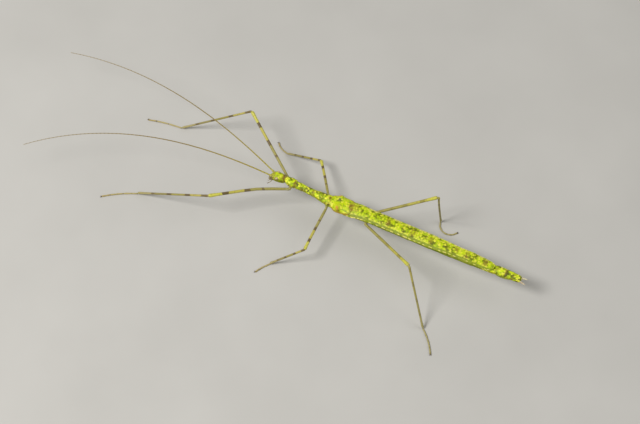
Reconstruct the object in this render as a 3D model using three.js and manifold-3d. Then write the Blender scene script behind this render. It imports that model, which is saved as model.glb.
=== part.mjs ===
// A long-winged stick insect at life size, standing on six feet with both feelers stretched forward.
// Millimetres, +Z up. The head points along -X, the insect's left side is -Y and its right side is +Y.
// Along the body, x is measured from the middle of the front of the chest and grows towards the tail.

import * as THREE from 'three';
import { mergeVertices } from 'three/addons/utils/BufferGeometryUtils.js';
import Module from 'manifold-3d';

const wasm = await Module();
wasm.setup();

// ---------- Driving dimensions ----------

const GAP = 0.3; // clearance between pieces that touch in life
const SOCKET_GAP = 0.2; // clearance round an eye or a leg root inside its socket
const BACK_HEIGHT = 7.75; // the body's middle line above the floor, behind the middle legs
const CHEST_RISE = 7; // degrees that the chest slopes up towards the head
const HEAD_RISE = 3; // degrees more that the head slopes up
const HEAD_TURN = 8; // degrees that the head is turned to the left
const RISE_FROM = 7.5; // x where the chest starts to rise
const TAIL_RISE = 2; // degrees that the tail slopes up
const TAIL_RISE_FROM = 44; // x where the tail starts to rise
const NECK = -6.5; // x where the head starts

// The head capsule: widths, rises and drops from the face back to the neck.
const HEAD = {
  from: -10.5,
  to: NECK,
  wide: [1.7, 2.3, 2.65, 2.6, 2.45, 2.1],
  rise: [0.3, 0.75, 1.1, 1.2, 1.1, 0.9],
  drop: [0.6, 0.85, 1.0, 1.25, 1.15, 0.95],
};
const EYE = { x: -8.75, out: 1.08, up: 0.6, across: 0.9 };
const MOUTH = {
  from: -11.3,
  to: -9.15,
  below: 1.45, // how far its middle line runs below the head's
  wide: [1.2, 1.5, 1.5],
  rise: [0.25, 0.25, 0.25],
  drop: [0.3, 0.45, 0.4],
};

// Each length of the trunk: where it ends, and its widths, rises and drops from front to back.
const PROTHORAX = {
  from: NECK,
  to: -3.7,
  wide: [2.1, 2.5, 2.4],
  rise: [0.9, 1.0, 0.9],
  drop: [0.9, 1.1, 1.0],
};
const MESOTHORAX = {
  from: -3.7,
  to: 6.2,
  wide: [2.1, 1.75, 1.85, 2.6, 3.2],
  rise: [0.85, 0.8, 0.9, 1.05, 1.1],
  drop: [0.95, 0.85, 0.9, 1.05, 1.2],
};
const METATHORAX = {
  from: 6.2,
  to: 16.7,
  wide: [3.2, 3.4, 3.2, 3.0],
  rise: [0.95, 0.9, 0.9, 0.95],
  drop: [1.2, 1.1, 1.1, 1.2],
};
const ABDOMEN = {
  from: 16.7,
  to: 50.2,
  wide: [3.0, 3.1, 3.1, 2.9, 2.5],
  rise: [0.95, 0.95, 0.9],
  drop: [1.2, 1.2, 1.15, 1.0],
};
const RING_LIP = 0.1; // how far each ring of the abdomen narrows towards its front
const TAIL = [
  { name: 'abdomen_8', from: 50.2, to: 52.7, wide: [2.5, 2.45], rise: [1.25, 1.2], drop: [0.75, 0.7] },
  { name: 'abdomen_9', from: 52.7, to: 54.9, wide: [2.4, 2.25], rise: [1.2, 1.1], drop: [0.7, 0.6] },
  { name: 'abdomen_10', from: 54.9, to: 57.2, wide: [2.2, 1.9], rise: [1.05, 0.85], drop: [0.55, 0.45] },
];
const KEEL_PLATE = { from: 49.9, to: 55.4, wide: 1.7, depth: 0.75 };
const CERCUS = { length: 1.15, across: 0.5, out: 0.62, up: 0.1, splay: 8 };

const WING_THICK = 0.5;
const TEGMEN = { from: 6.3, to: 11.9, spread: 62, hump: 0.7, humpAt: 0.3, humpOut: 0.62 };
const HINDWING = { from: 12.2, to: 49.8, shoulder: 14, spread: [45, 45, 45, 36, 36], tip: 2.6 };

// The feelers: heading is the angle outwards from straight ahead at the root, turn is what it changes by.
const FEELER = { root: -9.75, out: 0.6, up: 0.45, base: 1.7, length: 63.6, across: 0.5, lengths: 3 };
const FEELER_LIE = {
  left: { heading: 2, turn: 38.5, climb: 8, droop: -16 },
  right: { heading: 19.5, turn: -28, climb: 8, droop: -16 },
};
const LATE_BEND = 1.5; // above 1, a feeler bends more towards its tip

// Legs, front to back: x of the root, how far out and below the middle line it is, and segment lengths.
const LEGS = {
  fore: { x: -5, out: 1.3, below: 1.15, femur: 20.5, tibia: 21.2, tarsus: 9.3 },
  mid: { x: 5.2, out: 1.6, below: 0.95, femur: 12.5, tibia: 10.1, tarsus: 4.3 },
  hind: { x: 16.0, out: 1.6, below: 0.85, femur: 19.2, tibia: 16.8, tarsus: 7.2 },
};
// How each leg stands: lead is how far the coxa swings the root forwards, and bow how far the femur curves
// inwards, past the head; then the angles outwards from straight ahead and the climb of the femur, in
// degrees. curl is how far the foot turns along its length.
const STANCE = {
  left: {
    fore: { lead: -0.15, bow: 0.9, femur: 33, climb: 3.4, tibia: 8, tarsus: 22, curl: 17 },
    mid: { lead: -0.15, femur: 90, climb: -5.5, tibia: 32, tarsus: 51, curl: 10 },
    hind: { lead: 0, femur: 150, climb: 19.5, tibia: 135, tarsus: 141, curl: -24 },
  },
  right: {
    fore: { lead: 1.5, femur: 36.7, climb: 8.3, tibia: -20.5, tarsus: -4, curl: -10 },
    mid: { lead: 0.7, femur: 55.5, climb: -13.5, tibia: 1, tarsus: 8, curl: 39 },
    hind: { lead: 0, femur: 158, climb: 32, tibia: 96, tarsus: -89, curl: -154 },
  },
};
const FEMUR_THICK = [0.66, 0.68, 0.66, 0.7, 0.84];
const TIBIA_THICK = [0.62, 0.52, 0.5, 0.5, 0.56];
const TARSUS_THICK = 0.5;
const COXA = { length: 1.25, thick: 0.95 };
const ANKLE = 0.55; // height of the ankle above the floor

// ---------- Finishes ----------

const finish = (color, roughness) => () => new THREE.MeshStandardMaterial({ color, roughness, metalness: 0 });
const GREEN_CUTICLE = finish('#a8cf1c', 0.45);
const WING_CASE = finish('#8cc414', 0.5);
const LEG_CUTICLE = finish('#a0934c', 0.5);
const FEELER_CUTICLE = finish('#8f7c46', 0.55);
const EYE_GLOSS = finish('#6f5636', 0.15);
const PALE_CUTICLE = finish('#d9cdb2', 0.5);

// ---------- Small tools ----------

const rad = THREE.MathUtils.degToRad;
const SIDES = { left: -1, right: 1 };

// Smooth value at t, from 0 to 1, through evenly spaced values.
function through(values, t) {
  const last = values.length - 1;
  const at = THREE.MathUtils.clamp(t, 0, 1) * last;
  const i = Math.min(Math.floor(at), last - 1);
  const f = at - i;
  return values[i] + (values[i + 1] - values[i]) * f * f * (3 - 2 * f);
}

// Height of the body's middle line at x.
function spine(x) {
  const chest = Math.max(0, RISE_FROM - x) * Math.tan(rad(CHEST_RISE));
  const head = Math.max(0, NECK - x) * Math.tan(rad(HEAD_RISE));
  const tail = Math.max(0, x - TAIL_RISE_FROM) * Math.tan(rad(TAIL_RISE));
  return BACK_HEIGHT + chest + head + tail;
}

// A place on the head as modelled straight ahead, after the head has turned at the neck.
function turned(p) {
  p.setX(p.x - NECK).applyAxisAngle(new THREE.Vector3(0, 0, 1), rad(HEAD_TURN));
  return p.setX(p.x + NECK);
}

// Unit direction of an angle outwards from straight ahead on one side, climbing by some degrees.
function heading(side, outwards, climb) {
  const level = Math.cos(rad(climb));
  const x = -Math.cos(rad(outwards)) * level;
  const y = side * Math.sin(rad(outwards)) * level;
  return new THREE.Vector3(x, y, Math.sin(rad(climb)));
}

// Keeps only positions, welds the shared corners and drops faces that have shrunk to a line.
function welded(geometry) {
  geometry.deleteAttribute('normal');
  geometry.deleteAttribute('uv');
  const joined = mergeVertices(geometry, 1e-5);
  const kept = [];
  for (let i = 0; i < joined.index.count; i += 3) {
    const [a, b, c] = [0, 1, 2].map((k) => joined.index.getX(i + k));
    if (a !== b && b !== c && c !== a) kept.push(a, b, c);
  }
  joined.setIndex(kept);
  joined.computeVertexNormals();
  return joined;
}

function moveCorners(geometry, move) {
  const corners = geometry.attributes.position;
  const p = new THREE.Vector3();
  for (let i = 0; i < corners.count; i += 1) {
    move(p.fromBufferAttribute(corners, i));
    corners.setXYZ(i, p.x, p.y, p.z);
  }
  return geometry;
}

// Distances along a piece: close together in its round ends, evenly spaced between them.
function stops(length, steps, roundStart, roundEnd) {
  const places = [];
  const arc = [0, 0.3];
  if (roundStart > 0) places.push(...arc.map((f) => f * roundStart));
  for (let i = 0; i <= steps; i += 1) {
    places.push(roundStart + ((length - roundStart - roundEnd) * i) / steps);
  }
  if (roundEnd > 0) places.push(...arc.map((f) => length - f * roundEnd).reverse());
  return places;
}

// Share of its full thickness that a piece with a round end has at a distance from that end.
function roundness(distance, round) {
  if (round <= 0 || distance >= round) return 1;
  const short = 1 - distance / round;
  return Math.sqrt(Math.max(1 - short * short, 0.06));
}

// A closed body along a curve. section(t) gives half its width, its rise and its drop at t.
function loft({ curve, length, sides, steps, section, roundStart = 0, roundEnd = 0 }) {
  const places = stops(length, steps, roundStart, roundEnd);
  const profile = places.map((d) => new THREE.Vector2(1, d));
  profile.unshift(new THREE.Vector2(0, 0));
  profile.push(new THREE.Vector2(0, length));
  const geometry = new THREE.LatheGeometry(profile, sides);
  const up = new THREE.Vector3(0, 0, 1);
  return welded(moveCorners(geometry, (p) => {
    const t = THREE.MathUtils.clamp(p.y / length, 0, 1);
    const tangent = curve.getTangentAt(t);
    const across = new THREE.Vector3().crossVectors(tangent, up).normalize();
    const above = new THREE.Vector3().crossVectors(across, tangent);
    const { half, rise, drop } = section(t);
    const full = roundness(p.y, roundStart) * roundness(length - p.y, roundEnd);
    const width = p.x * half * full;
    const height = p.z * (p.z > 0 ? rise : drop) * full;
    p.copy(curve.getPointAt(t)).addScaledVector(across, width).addScaledVector(above, height);
  }));
}

// A straight round limb from one point to another, with its thicknesses from end to end.
function limb({ from, to, thick, sides = 8, steps = 5, round = 0.3, bend = null }) {
  const curve = bend ?? new THREE.LineCurve3(from, to);
  const section = (t) => {
    const half = through(thick, t) / 2;
    return { half, rise: half, drop: half };
  };
  const ends = { roundStart: round, roundEnd: round };
  return loft({ curve, length: curve.getLength(), sides, steps, section, ...ends });
}

// A path that starts in one direction and turns and dips evenly along its length.
function wander({ from, side, outwards, turn, late = 1, climb = 0, droop = 0, length, steps = 24 }) {
  const points = [from.clone()];
  for (let i = 0; i < steps; i += 1) {
    const t = (i + 0.5) / steps;
    const step = heading(side, outwards + turn * t ** late, climb + droop * t).multiplyScalar(length / steps);
    points.push(points.at(-1).clone().add(step));
  }
  return new THREE.CatmullRomCurve3(points);
}

// The stretch of a curve between two distances along it.
function stretch(curve, from, to, count = 10) {
  const whole = curve.getLength();
  const points = [];
  for (let i = 0; i <= count; i += 1) {
    points.push(curve.getPointAt(THREE.MathUtils.clamp((from + ((to - from) * i) / count) / whole, 0, 1)));
  }
  return new THREE.CatmullRomCurve3(points);
}

// How far each of two round-ended limbs stops short of the joint between them.
function setback(radius, before, after) {
  const half = before.angleTo(after) / 2;
  return Math.max(GAP / 2, (radius + GAP / 2) / Math.cos(half) - radius);
}

function solid(geometry) {
  const joined = welded(geometry.clone());
  const mesh = new wasm.Mesh({
    numProp: 3,
    vertProperties: new Float32Array(joined.attributes.position.array),
    triVerts: new Uint32Array(joined.index.array),
  });
  return new wasm.Manifold(mesh);
}

// One geometry with the space of others cut out of it.
function cutBy(geometry, cutters) {
  let rest = solid(geometry);
  for (const cutter of cutters) rest = rest.subtract(solid(cutter));
  const mesh = rest.getMesh();
  const cut = new THREE.BufferGeometry();
  cut.setAttribute('position', new THREE.BufferAttribute(new Float32Array(mesh.vertProperties), 3));
  cut.setIndex(Array.from(mesh.triVerts));
  cut.computeVertexNormals();
  return cut;
}

const insect = new THREE.Group();

function add(name, geometry, material) {
  const mesh = new THREE.Mesh(geometry, material());
  mesh.name = name;
  insect.add(mesh);
}

// ---------- Trunk ----------

// One length of the trunk, following the middle line, flat where it faces its neighbours.
function trunk({ from, to, wide, rise, drop }, { sides = 14, steps = 6, roundStart = 0, roundEnd = 0 } = {}) {
  const start = from + GAP / 2;
  const end = to - GAP / 2;
  const curve = new THREE.LineCurve3(new THREE.Vector3(end, 0, 0), new THREE.Vector3(start, 0, 0));
  const section = (t) => ({
    half: through(wide, 1 - t) / 2,
    rise: through(rise, 1 - t),
    drop: through(drop, 1 - t),
  });
  const ends = { roundStart: roundEnd, roundEnd: roundStart };
  const geometry = loft({ curve, length: end - start, sides, steps, section, ...ends });
  return moveCorners(geometry, (p) => p.setZ(p.z + spine(p.x)));
}

function legRoot(pair, name) {
  const { x, out, below } = LEGS[pair];
  return new THREE.Vector3(x - STANCE[name][pair].lead, SIDES[name] * out, spine(x) - below);
}

// The coxa points out and a little down to the leg root; grown is what its socket adds all round.
function coxa(pair, name, grown = 0) {
  const root = legRoot(pair, name);
  const inwards = new THREE.Vector3(STANCE[name][pair].lead * 0.6, -SIDES[name] * 0.9, 0.45).normalize();
  const from = root.clone().addScaledVector(inwards, COXA.length + grown);
  const to = root.clone().addScaledVector(inwards, GAP / 2 - grown);
  const thick = [COXA.thick * 0.8, COXA.thick, COXA.thick * 0.8].map((d) => d + 2 * grown);
  return limb({ from, to, thick, steps: 2, round: 0.25 });
}

const sockets = (pair) => Object.keys(SIDES).map((name) => coxa(pair, name, SOCKET_GAP));

function addTrunk() {
  add('prothorax', cutBy(trunk(PROTHORAX), sockets('fore')), GREEN_CUTICLE);
  add('mesothorax', cutBy(trunk(MESOTHORAX, { steps: 10 }), sockets('mid')), GREEN_CUTICLE);
  add('metathorax', cutBy(trunk(METATHORAX, { steps: 8 }), sockets('hind')), GREEN_CUTICLE);
  const rings = 6;
  const whole = ABDOMEN.to - ABDOMEN.from;
  for (let i = 0; i < rings; i += 1) {
    const ends = [i / rings, (i + 1) / rings];
    const lip = (values, shrink) => [through(values, ends[0]) - shrink, through(values, ends[1])];
    const ring = {
      from: ABDOMEN.from + whole * ends[0],
      to: ABDOMEN.from + whole * ends[1],
      wide: lip(ABDOMEN.wide, 2 * RING_LIP),
      rise: lip(ABDOMEN.rise, RING_LIP / 2),
      drop: lip(ABDOMEN.drop, RING_LIP),
    };
    add(`abdomen_${i + 2}`, trunk(ring, { steps: 3 }), GREEN_CUTICLE);
  }
  for (const ring of TAIL) {
    const roundEnd = ring === TAIL.at(-1) ? 0.6 : 0;
    add(ring.name, trunk(ring, { sides: 12, steps: 3, roundEnd }), GREEN_CUTICLE);
  }
}

// The boat-shaped plate below the tail rings, closed to a blunt point behind.
function addKeelPlate() {
  const { from, to, wide, depth } = KEEL_PLATE;
  const below = TAIL[0].drop[0] + GAP + depth / 2;
  const start = new THREE.Vector3(to, 0, spine(to) - below + 0.25);
  const end = new THREE.Vector3(from, 0, spine(from) - below - 0.2);
  const section = (t) => ({
    half: through([0.35, wide / 2, wide / 2], t),
    rise: depth / 3,
    drop: depth * 0.6,
  });
  const curve = new THREE.LineCurve3(start, end);
  const length = start.distanceTo(end);
  const ends = { roundStart: 0.5, roundEnd: 0.3 };
  add('subgenital_plate', loft({ curve, length, sides: 10, steps: 4, section, ...ends }), GREEN_CUTICLE);
}

function addCerci() {
  for (const [name, side] of Object.entries(SIDES)) {
    const x = TAIL.at(-1).to;
    const from = new THREE.Vector3(x, side * CERCUS.out, spine(x) + CERCUS.up);
    const to = from.clone().addScaledVector(heading(side, 180 - CERCUS.splay, -4), CERCUS.length);
    const thick = [CERCUS.across, CERCUS.across * 1.1, CERCUS.across * 0.8];
    add(`cercus_${name}`, limb({ from, to, thick, steps: 3, round: 0.2 }), PALE_CUTICLE);
  }
}

// ---------- Wings ----------

// Trunk section below the wings at x: half its width and its rise.
function under(x) {
  const length = x < METATHORAX.to ? METATHORAX : ABDOMEN;
  const t = (x - length.from) / (length.to - length.from);
  return { half: through(length.wide, t) / 2, rise: through(length.rise, t) };
}

// A curved plate over one side of the back. spread(x) is how far it reaches from the middle line, in
// degrees round the trunk; lift(x, v) is how far it stands off the trunk below it.
function plate({ from, to, side, steps, spread, lift }) {
  const box = new THREE.BoxGeometry(1, 1, 1, steps, 4, 1);
  return welded(moveCorners(box, (p) => {
    const x = from + (to - from) * (p.x + 0.5);
    const v = p.y * side + 0.5;
    const angle = rad(spread(x) * v);
    const off = lift(x, v) + (p.z > 0 ? WING_THICK : 0);
    const { half, rise } = under(x);
    const y = side * (GAP / 2 + (half + off) * Math.sin(angle));
    p.set(x, y, spine(x) + (rise + off) * Math.cos(angle));
  }));
}

function addWings() {
  for (const [name, side] of Object.entries(SIDES)) {
    const cover = TEGMEN.to - TEGMEN.from;
    const tegmen = plate({
      from: TEGMEN.from,
      to: TEGMEN.to,
      side,
      steps: 10,
      spread: (x) => {
        const front = roundness(x - TEGMEN.from + 0.5, 2.4);
        const rear = roundness(TEGMEN.to - x + 0.5, 2);
        return TEGMEN.spread * Math.min(front, rear);
      },
      lift: (x, v) => {
        const along = (x - TEGMEN.from) / cover - TEGMEN.humpAt;
        const out = v - TEGMEN.humpOut;
        return GAP + TEGMEN.hump * Math.exp(-16 * along * along - 9 * out * out);
      },
    });
    add(`tegmen_${name}`, tegmen, WING_CASE);
    const long = HINDWING.to - HINDWING.from;
    const hindwing = plate({
      from: HINDWING.from,
      to: HINDWING.to,
      side,
      steps: 15,
      spread: (x) => {
        const shoulder = HINDWING.shoulder * Math.exp((HINDWING.from - x) / 2.5);
        const full = through(HINDWING.spread, (x - HINDWING.from) / long) + shoulder;
        return full * roundness(HINDWING.to - x + 0.3, HINDWING.tip);
      },
      lift: () => GAP,
    });
    add(`hindwing_${name}`, hindwing, WING_CASE);
  }
}

// ---------- Head ----------

function eyeball(side, grown = 0) {
  const ball = new THREE.SphereGeometry(EYE.across / 2 + grown, 10, 8);
  ball.scale(1.1, 0.85, 1);
  ball.translate(EYE.x, side * EYE.out, spine(EYE.x) + EYE.up);
  return moveCorners(welded(ball), turned);
}

// The path of a feeler from its root on the face to its tip.
function feelerPath(name) {
  const { heading: outwards, turn, climb, droop } = FEELER_LIE[name];
  const side = SIDES[name];
  const from = turned(new THREE.Vector3(FEELER.root, side * FEELER.out, spine(FEELER.root) + FEELER.up));
  const length = FEELER.base + FEELER.length;
  return wander({ from, side, outwards, turn, late: LATE_BEND, climb, droop, length, steps: 40 });
}

// Scape and pedicel, the two stout lengths at the root of a feeler.
function feelerBase(name, grown = 0) {
  const thick = [0.6, 0.66, 0.56, 0.6, 0.5].map((d) => d + 2 * grown);
  return limb({ thick, steps: 4, round: 0.2, bend: stretch(feelerPath(name), 0, FEELER.base - GAP, 4) });
}

function addHead() {
  const capsule = moveCorners(trunk(HEAD, { sides: 14, steps: 7, roundStart: 0.3 }), turned);
  const hollows = Object.entries(SIDES).flatMap(([name, side]) => [
    eyeball(side, SOCKET_GAP),
    feelerBase(name, SOCKET_GAP),
  ]);
  add('head', cutBy(capsule, hollows), GREEN_CUTICLE);
  for (const [name, side] of Object.entries(SIDES)) add(`eye_${name}`, eyeball(side), EYE_GLOSS);
  const jaws = trunk(MOUTH, { sides: 10, steps: 3, roundStart: 0.35, roundEnd: 0.35 });
  add('mouthparts', moveCorners(jaws, (p) => turned(p).setZ(p.z - MOUTH.below)), PALE_CUTICLE);
}

function addFeelers() {
  for (const name of Object.keys(SIDES)) {
    add(`antenna_${name}_base`, feelerBase(name), FEELER_CUTICLE);
    const path = feelerPath(name);
    for (let i = 0; i < FEELER.lengths; i += 1) {
      const start = FEELER.base + (FEELER.length * i) / FEELER.lengths;
      const end = FEELER.base + (FEELER.length * (i + 1)) / FEELER.lengths - GAP;
      const thick = [FEELER.across, FEELER.across];
      const whip = limb({ thick, sides: 6, steps: 7, round: 0.2, bend: stretch(path, start, end) });
      add(`antenna_${name}_${i + 1}`, whip, FEELER_CUTICLE);
    }
  }
}

// ---------- Legs ----------

// A femur bowed inwards in its middle, as the front ones are to pass the head.
function bowed(from, to, side, bow) {
  const middle = from.clone().lerp(to, 0.42).add(new THREE.Vector3(0, -side * bow, 0));
  const beyond = from.clone().lerp(to, 0.75).add(new THREE.Vector3(0, (-side * bow) / 2, 0));
  return new THREE.CatmullRomCurve3([from, middle, beyond, to]);
}

function addLeg(pair, name) {
  const side = SIDES[name];
  const size = LEGS[pair];
  const stance = STANCE[name][pair];
  const root = legRoot(pair, name);
  const thigh = heading(side, stance.femur, stance.climb);
  const knee = root.clone().addScaledVector(thigh, size.femur);
  const fall = THREE.MathUtils.radToDeg(Math.asin((knee.z - ANKLE) / size.tibia));
  const shin = heading(side, stance.tibia, -fall);
  const ankle = knee.clone().addScaledVector(shin, size.tibia);
  const foot = heading(side, stance.tarsus, 0);
  const kneeGap = setback(TIBIA_THICK[0] / 2, thigh, shin);
  const ankleGap = setback(TARSUS_THICK / 2, shin, foot);

  add(`coxa_${pair}_${name}`, coxa(pair, name), LEG_CUTICLE);

  const hip = root.clone().addScaledVector(thigh, GAP / 2);
  const kneeEnd = knee.clone().addScaledVector(thigh, -kneeGap);
  const femur = { thick: FEMUR_THICK, steps: 5, bend: bowed(hip, kneeEnd, side, stance.bow ?? 0) };
  add(`femur_${pair}_${name}`, limb(femur), LEG_CUTICLE);

  const shinStart = knee.clone().addScaledVector(shin, kneeGap);
  const shinEnd = ankle.clone().addScaledVector(shin, -ankleGap);
  const tibia = { from: shinStart, to: shinEnd, thick: TIBIA_THICK, steps: 4 };
  add(`tibia_${pair}_${name}`, limb(tibia), LEG_CUTICLE);

  // The foot lies on the floor from heel to claws, with a flat sole.
  const sole = ankle.clone().setZ(TARSUS_THICK / 2 - 0.06);
  const turning = { outwards: stance.tarsus, turn: stance.curl };
  const tread = wander({ from: sole, side, ...turning, length: size.tarsus, steps: 12 });
  const tarsus = limb({
    thick: [TARSUS_THICK, TARSUS_THICK, TARSUS_THICK, TARSUS_THICK + 0.1],
    steps: 6,
    round: 0.2,
    bend: stretch(tread, ankleGap, size.tarsus),
  });
  add(`tarsus_${pair}_${name}`, moveCorners(tarsus, (p) => p.setZ(Math.max(0, p.z))), LEG_CUTICLE);
}

// ---------- The whole insect ----------

addHead();
addFeelers();
addTrunk();
addKeelPlate();
addCerci();
addWings();
for (const pair of Object.keys(LEGS)) {
  for (const name of Object.keys(SIDES)) addLeg(pair, name);
}

// The origin is on the floor, below the middle of the box round the whole insect.
const reach = new THREE.Box3().setFromObject(insect);
const middle = reach.getCenter(new THREE.Vector3());
insect.position.set(-middle.x, -middle.y, 0);
insect.updateMatrixWorld(true);

export default insect;
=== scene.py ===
# %% [markdown]
# # A long-winged stick insect, still, at life size
# The insect is 68 mm from mouth to tail and as thin as a pencil lead. Its plan is simple: a long trunk, six
# stilts, two whips for feelers, and wings folded along the back like a narrow shield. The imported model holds
# where every length of it lies, so each piece here is made around that frame and never moved afterwards.

# %% Load the frame
import math
from collections import defaultdict
from contextlib import contextmanager

import bmesh
import bpy
import numpy as np
from mathutils import Matrix, Vector


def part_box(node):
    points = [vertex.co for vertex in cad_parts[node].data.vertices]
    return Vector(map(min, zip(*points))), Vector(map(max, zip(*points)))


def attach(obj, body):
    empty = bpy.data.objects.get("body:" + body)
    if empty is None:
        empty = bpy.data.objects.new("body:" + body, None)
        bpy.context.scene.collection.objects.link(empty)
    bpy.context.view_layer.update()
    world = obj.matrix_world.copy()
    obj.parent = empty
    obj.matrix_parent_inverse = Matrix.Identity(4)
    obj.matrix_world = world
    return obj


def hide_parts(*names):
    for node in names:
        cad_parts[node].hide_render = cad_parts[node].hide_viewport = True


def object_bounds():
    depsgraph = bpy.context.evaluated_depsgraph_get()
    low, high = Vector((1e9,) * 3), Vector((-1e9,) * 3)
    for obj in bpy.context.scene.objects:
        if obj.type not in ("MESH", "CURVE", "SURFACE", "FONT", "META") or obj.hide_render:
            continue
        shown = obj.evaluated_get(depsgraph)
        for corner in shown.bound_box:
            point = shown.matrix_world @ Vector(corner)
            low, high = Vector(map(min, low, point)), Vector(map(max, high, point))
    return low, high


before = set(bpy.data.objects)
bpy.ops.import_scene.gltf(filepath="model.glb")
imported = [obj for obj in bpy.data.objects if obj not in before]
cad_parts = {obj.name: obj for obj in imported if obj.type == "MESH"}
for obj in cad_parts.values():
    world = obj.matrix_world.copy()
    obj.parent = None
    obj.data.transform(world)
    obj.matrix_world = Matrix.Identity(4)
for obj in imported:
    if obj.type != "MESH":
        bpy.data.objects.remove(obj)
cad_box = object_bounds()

print("frame:", len(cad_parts), "nodes, box", [[round(c, 4) for c in p] for p in cad_box])

# %% [markdown]
# ## Units and the body's own measure
# Blender counts in metres, and a feeler here is a fifth of a millimetre thick. Numbers like 0.0002 are hard
# to read and close to the rounding of some modifiers, so every piece is modelled in millimetres, in the
# body's own measure: x runs along the back from head to tail, y to the insect's right side, and z up from the
# floor. One helper, `settle`, then brings a finished piece to metres and to its place, and clears its
# transform.

# %% Units and places
MM = 0.001
GAP = 0.3  # mm that the solids leave between touching pieces
NECK = -6.5  # x of the neck in the body's own measure

neck_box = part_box("prothorax")
middle_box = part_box("abdomen_5")
SHIFT = Vector((neck_box[0].x / MM - GAP / 2 - NECK, (middle_box[0].y + middle_box[1].y) / 2 / MM, 0))


def only(*pieces):
    """Selects these objects and nothing else, and makes the first one active."""
    bpy.ops.object.select_all(action="DESELECT")
    for piece in pieces:
        piece.select_set(True)
    bpy.context.view_layer.objects.active = pieces[0]


@contextmanager
def editing(piece):
    """Edit mode on one piece, for the lines of a with block."""
    only(piece)
    bpy.ops.object.mode_set(mode="EDIT")
    yield
    bpy.ops.object.mode_set(mode="OBJECT")


def settle(piece):
    """Brings a piece from body millimetres to metres in the frame, and leaves its object at the origin."""
    only(piece)
    piece.scale = (MM, MM, MM)
    piece.location = SHIFT * MM
    bpy.ops.object.transform_apply(location=True, rotation=True, scale=True)
    return piece


def apply(piece, kind, **settings):
    """Adds one modifier with its settings and applies it."""
    only(piece)
    modifier = piece.modifiers.new(kind.lower(), kind)
    for key, value in settings.items():
        setattr(modifier, key, value)
    bpy.ops.object.modifier_apply(modifier=modifier.name)
    return piece


def pick(test=lambda place: True):
    """In edit mode, selects the vertices whose place passes the test, or all of them, and counts them."""
    mesh = bmesh.from_edit_mesh(bpy.context.edit_object.data)
    bpy.ops.mesh.select_all(action="DESELECT")
    found = [v for v in mesh.verts if test(v.co)]
    for v in found:
        v.select_set(True)
    mesh.select_flush_mode()
    bmesh.update_edit_mesh(bpy.context.edit_object.data)
    return len(found)


print("body measure starts at", [round(c, 3) for c in SHIFT], "mm in the frame")

# %% [markdown]
# ## Names of the finishes
# A Boolean union carries the material of every part it welds into the skin, so the materials of the skin are
# named before its parts are made. Their nodes are built further down, once all the shapes are there.

# %% Name the finishes
FINISHES = ["granular green cuticle", "banded leg cuticle", "ringed feeler cuticle", "pale soft cuticle"]
finish = {name: bpy.data.materials.new(name) for name in FINISHES}
print(len(finish), "finishes on the skin")

# %% [markdown]
# ## Reading places from the frame
# A limb in the frame is a tube of rings. Its middle line can be found without knowing how it was made: start
# at one end and walk outwards edge by edge. All the corners that are the same number of steps away form one
# ring, and the average of a ring is a point of the middle line. That works on straight, bowed and curled
# limbs alike. A trunk node is simpler, because its rings stand square to x: grouping its corners by x gives
# the sections.

# %% Middle lines and sections
def corners(node):
    """Each corner of a node in body millimetres, rounded so that equal corners are equal tuples."""
    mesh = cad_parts[node].data
    return [tuple(round(c, 3) for c in v.co / MM - SHIFT) for v in mesh.vertices]


def middle_line(node, start):
    """The middle of each ring of a limb, beginning at the end that is nearer to start."""
    place = corners(node)
    near = defaultdict(set)
    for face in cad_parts[node].data.polygons:
        around = [place[i] for i in face.vertices]
        for corner in around:
            near[corner].update(around)

    def walk(first):
        steps = {first: 0}
        queue = [first]
        for corner in queue:
            for other in sorted(near[corner] - steps.keys()):
                steps[other] = steps[corner] + 1
                queue.append(other)
        return steps, queue[-1]

    steps, _ = walk(walk(place[0])[1])
    rings = defaultdict(list)
    for corner, step in steps.items():
        rings[step].append(corner)
    line = []
    for step in sorted(rings):
        middle = Vector(np.mean(rings[step], axis=0))
        if not line or (middle - line[-1]).length > 0.03:  # a pole and the ring round it share their middle
            line.append(middle)
    if (line[-1] - start).length < (line[0] - start).length:
        line.reverse()
    return line


HEAD_TURN = math.radians(8)  # the head is turned to the left at the neck


def sections(node, turn=0):
    """Rows of x, half width, top and bottom of a trunk node, once it is turned back straight."""
    groups = defaultdict(set)
    for x, y, z in corners(node):
        back = Matrix.Rotation(-turn, 2) @ Vector((x - NECK, y))
        groups[round(back.x + NECK, 1)].add((back.y, z))
    rows = []
    for x, ring in sorted(groups.items()):
        on_middle = [z for y, z in ring if abs(y) < 0.03]
        half = max(abs(y) for y, z in ring)
        # The sockets of the legs leave part rings, which are much lower than they are wide.
        if len(on_middle) > 1 and max(on_middle) - min(on_middle) > 0.8 * half:
            rows.append((x, half, max(on_middle), min(on_middle)))
    return rows


TRUNK_NODES = ["head", "prothorax", "mesothorax", "metathorax", *(f"abdomen_{i}" for i in range(2, 11))]
outline = []
for node in TRUNK_NODES:
    outline += sections(node, HEAD_TURN if node == "head" else 0)
outline = np.array(sorted(outline))
sutures = [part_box(node)[0].x / MM - SHIFT.x - GAP / 2 for node in TRUNK_NODES[1:]]
print("trunk outline:", len(outline), "sections from", outline[0, 0], "to", outline[-1, 0], "mm")
print("sutures at", [round(x, 2) for x in sutures])


def section_at(x):
    """Half width, top and bottom of the trunk at x."""
    return tuple(float(np.interp(x, outline[:, 0], outline[:, k])) for k in (1, 2, 3))


def spine(x):
    """Height of the trunk's middle line at x."""
    _, top, bottom = section_at(x)
    return (top + bottom) / 2


# %% [markdown]
# ## One tool for every long form
# Trunk, legs, feelers, palps and cerci are all tubes whose thickness changes along the way. By hand one adds
# a circle, extrudes it, scales it, and repeats. `tube` does just that, ring by ring, and closes both ends.
# Limbs are made straight along x and then laid along their middle line with a Curve modifier, as wire is bent
# to shape after it has been drawn.

# %% Tube and follow
CENTRE = (0, 0, 0)


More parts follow.
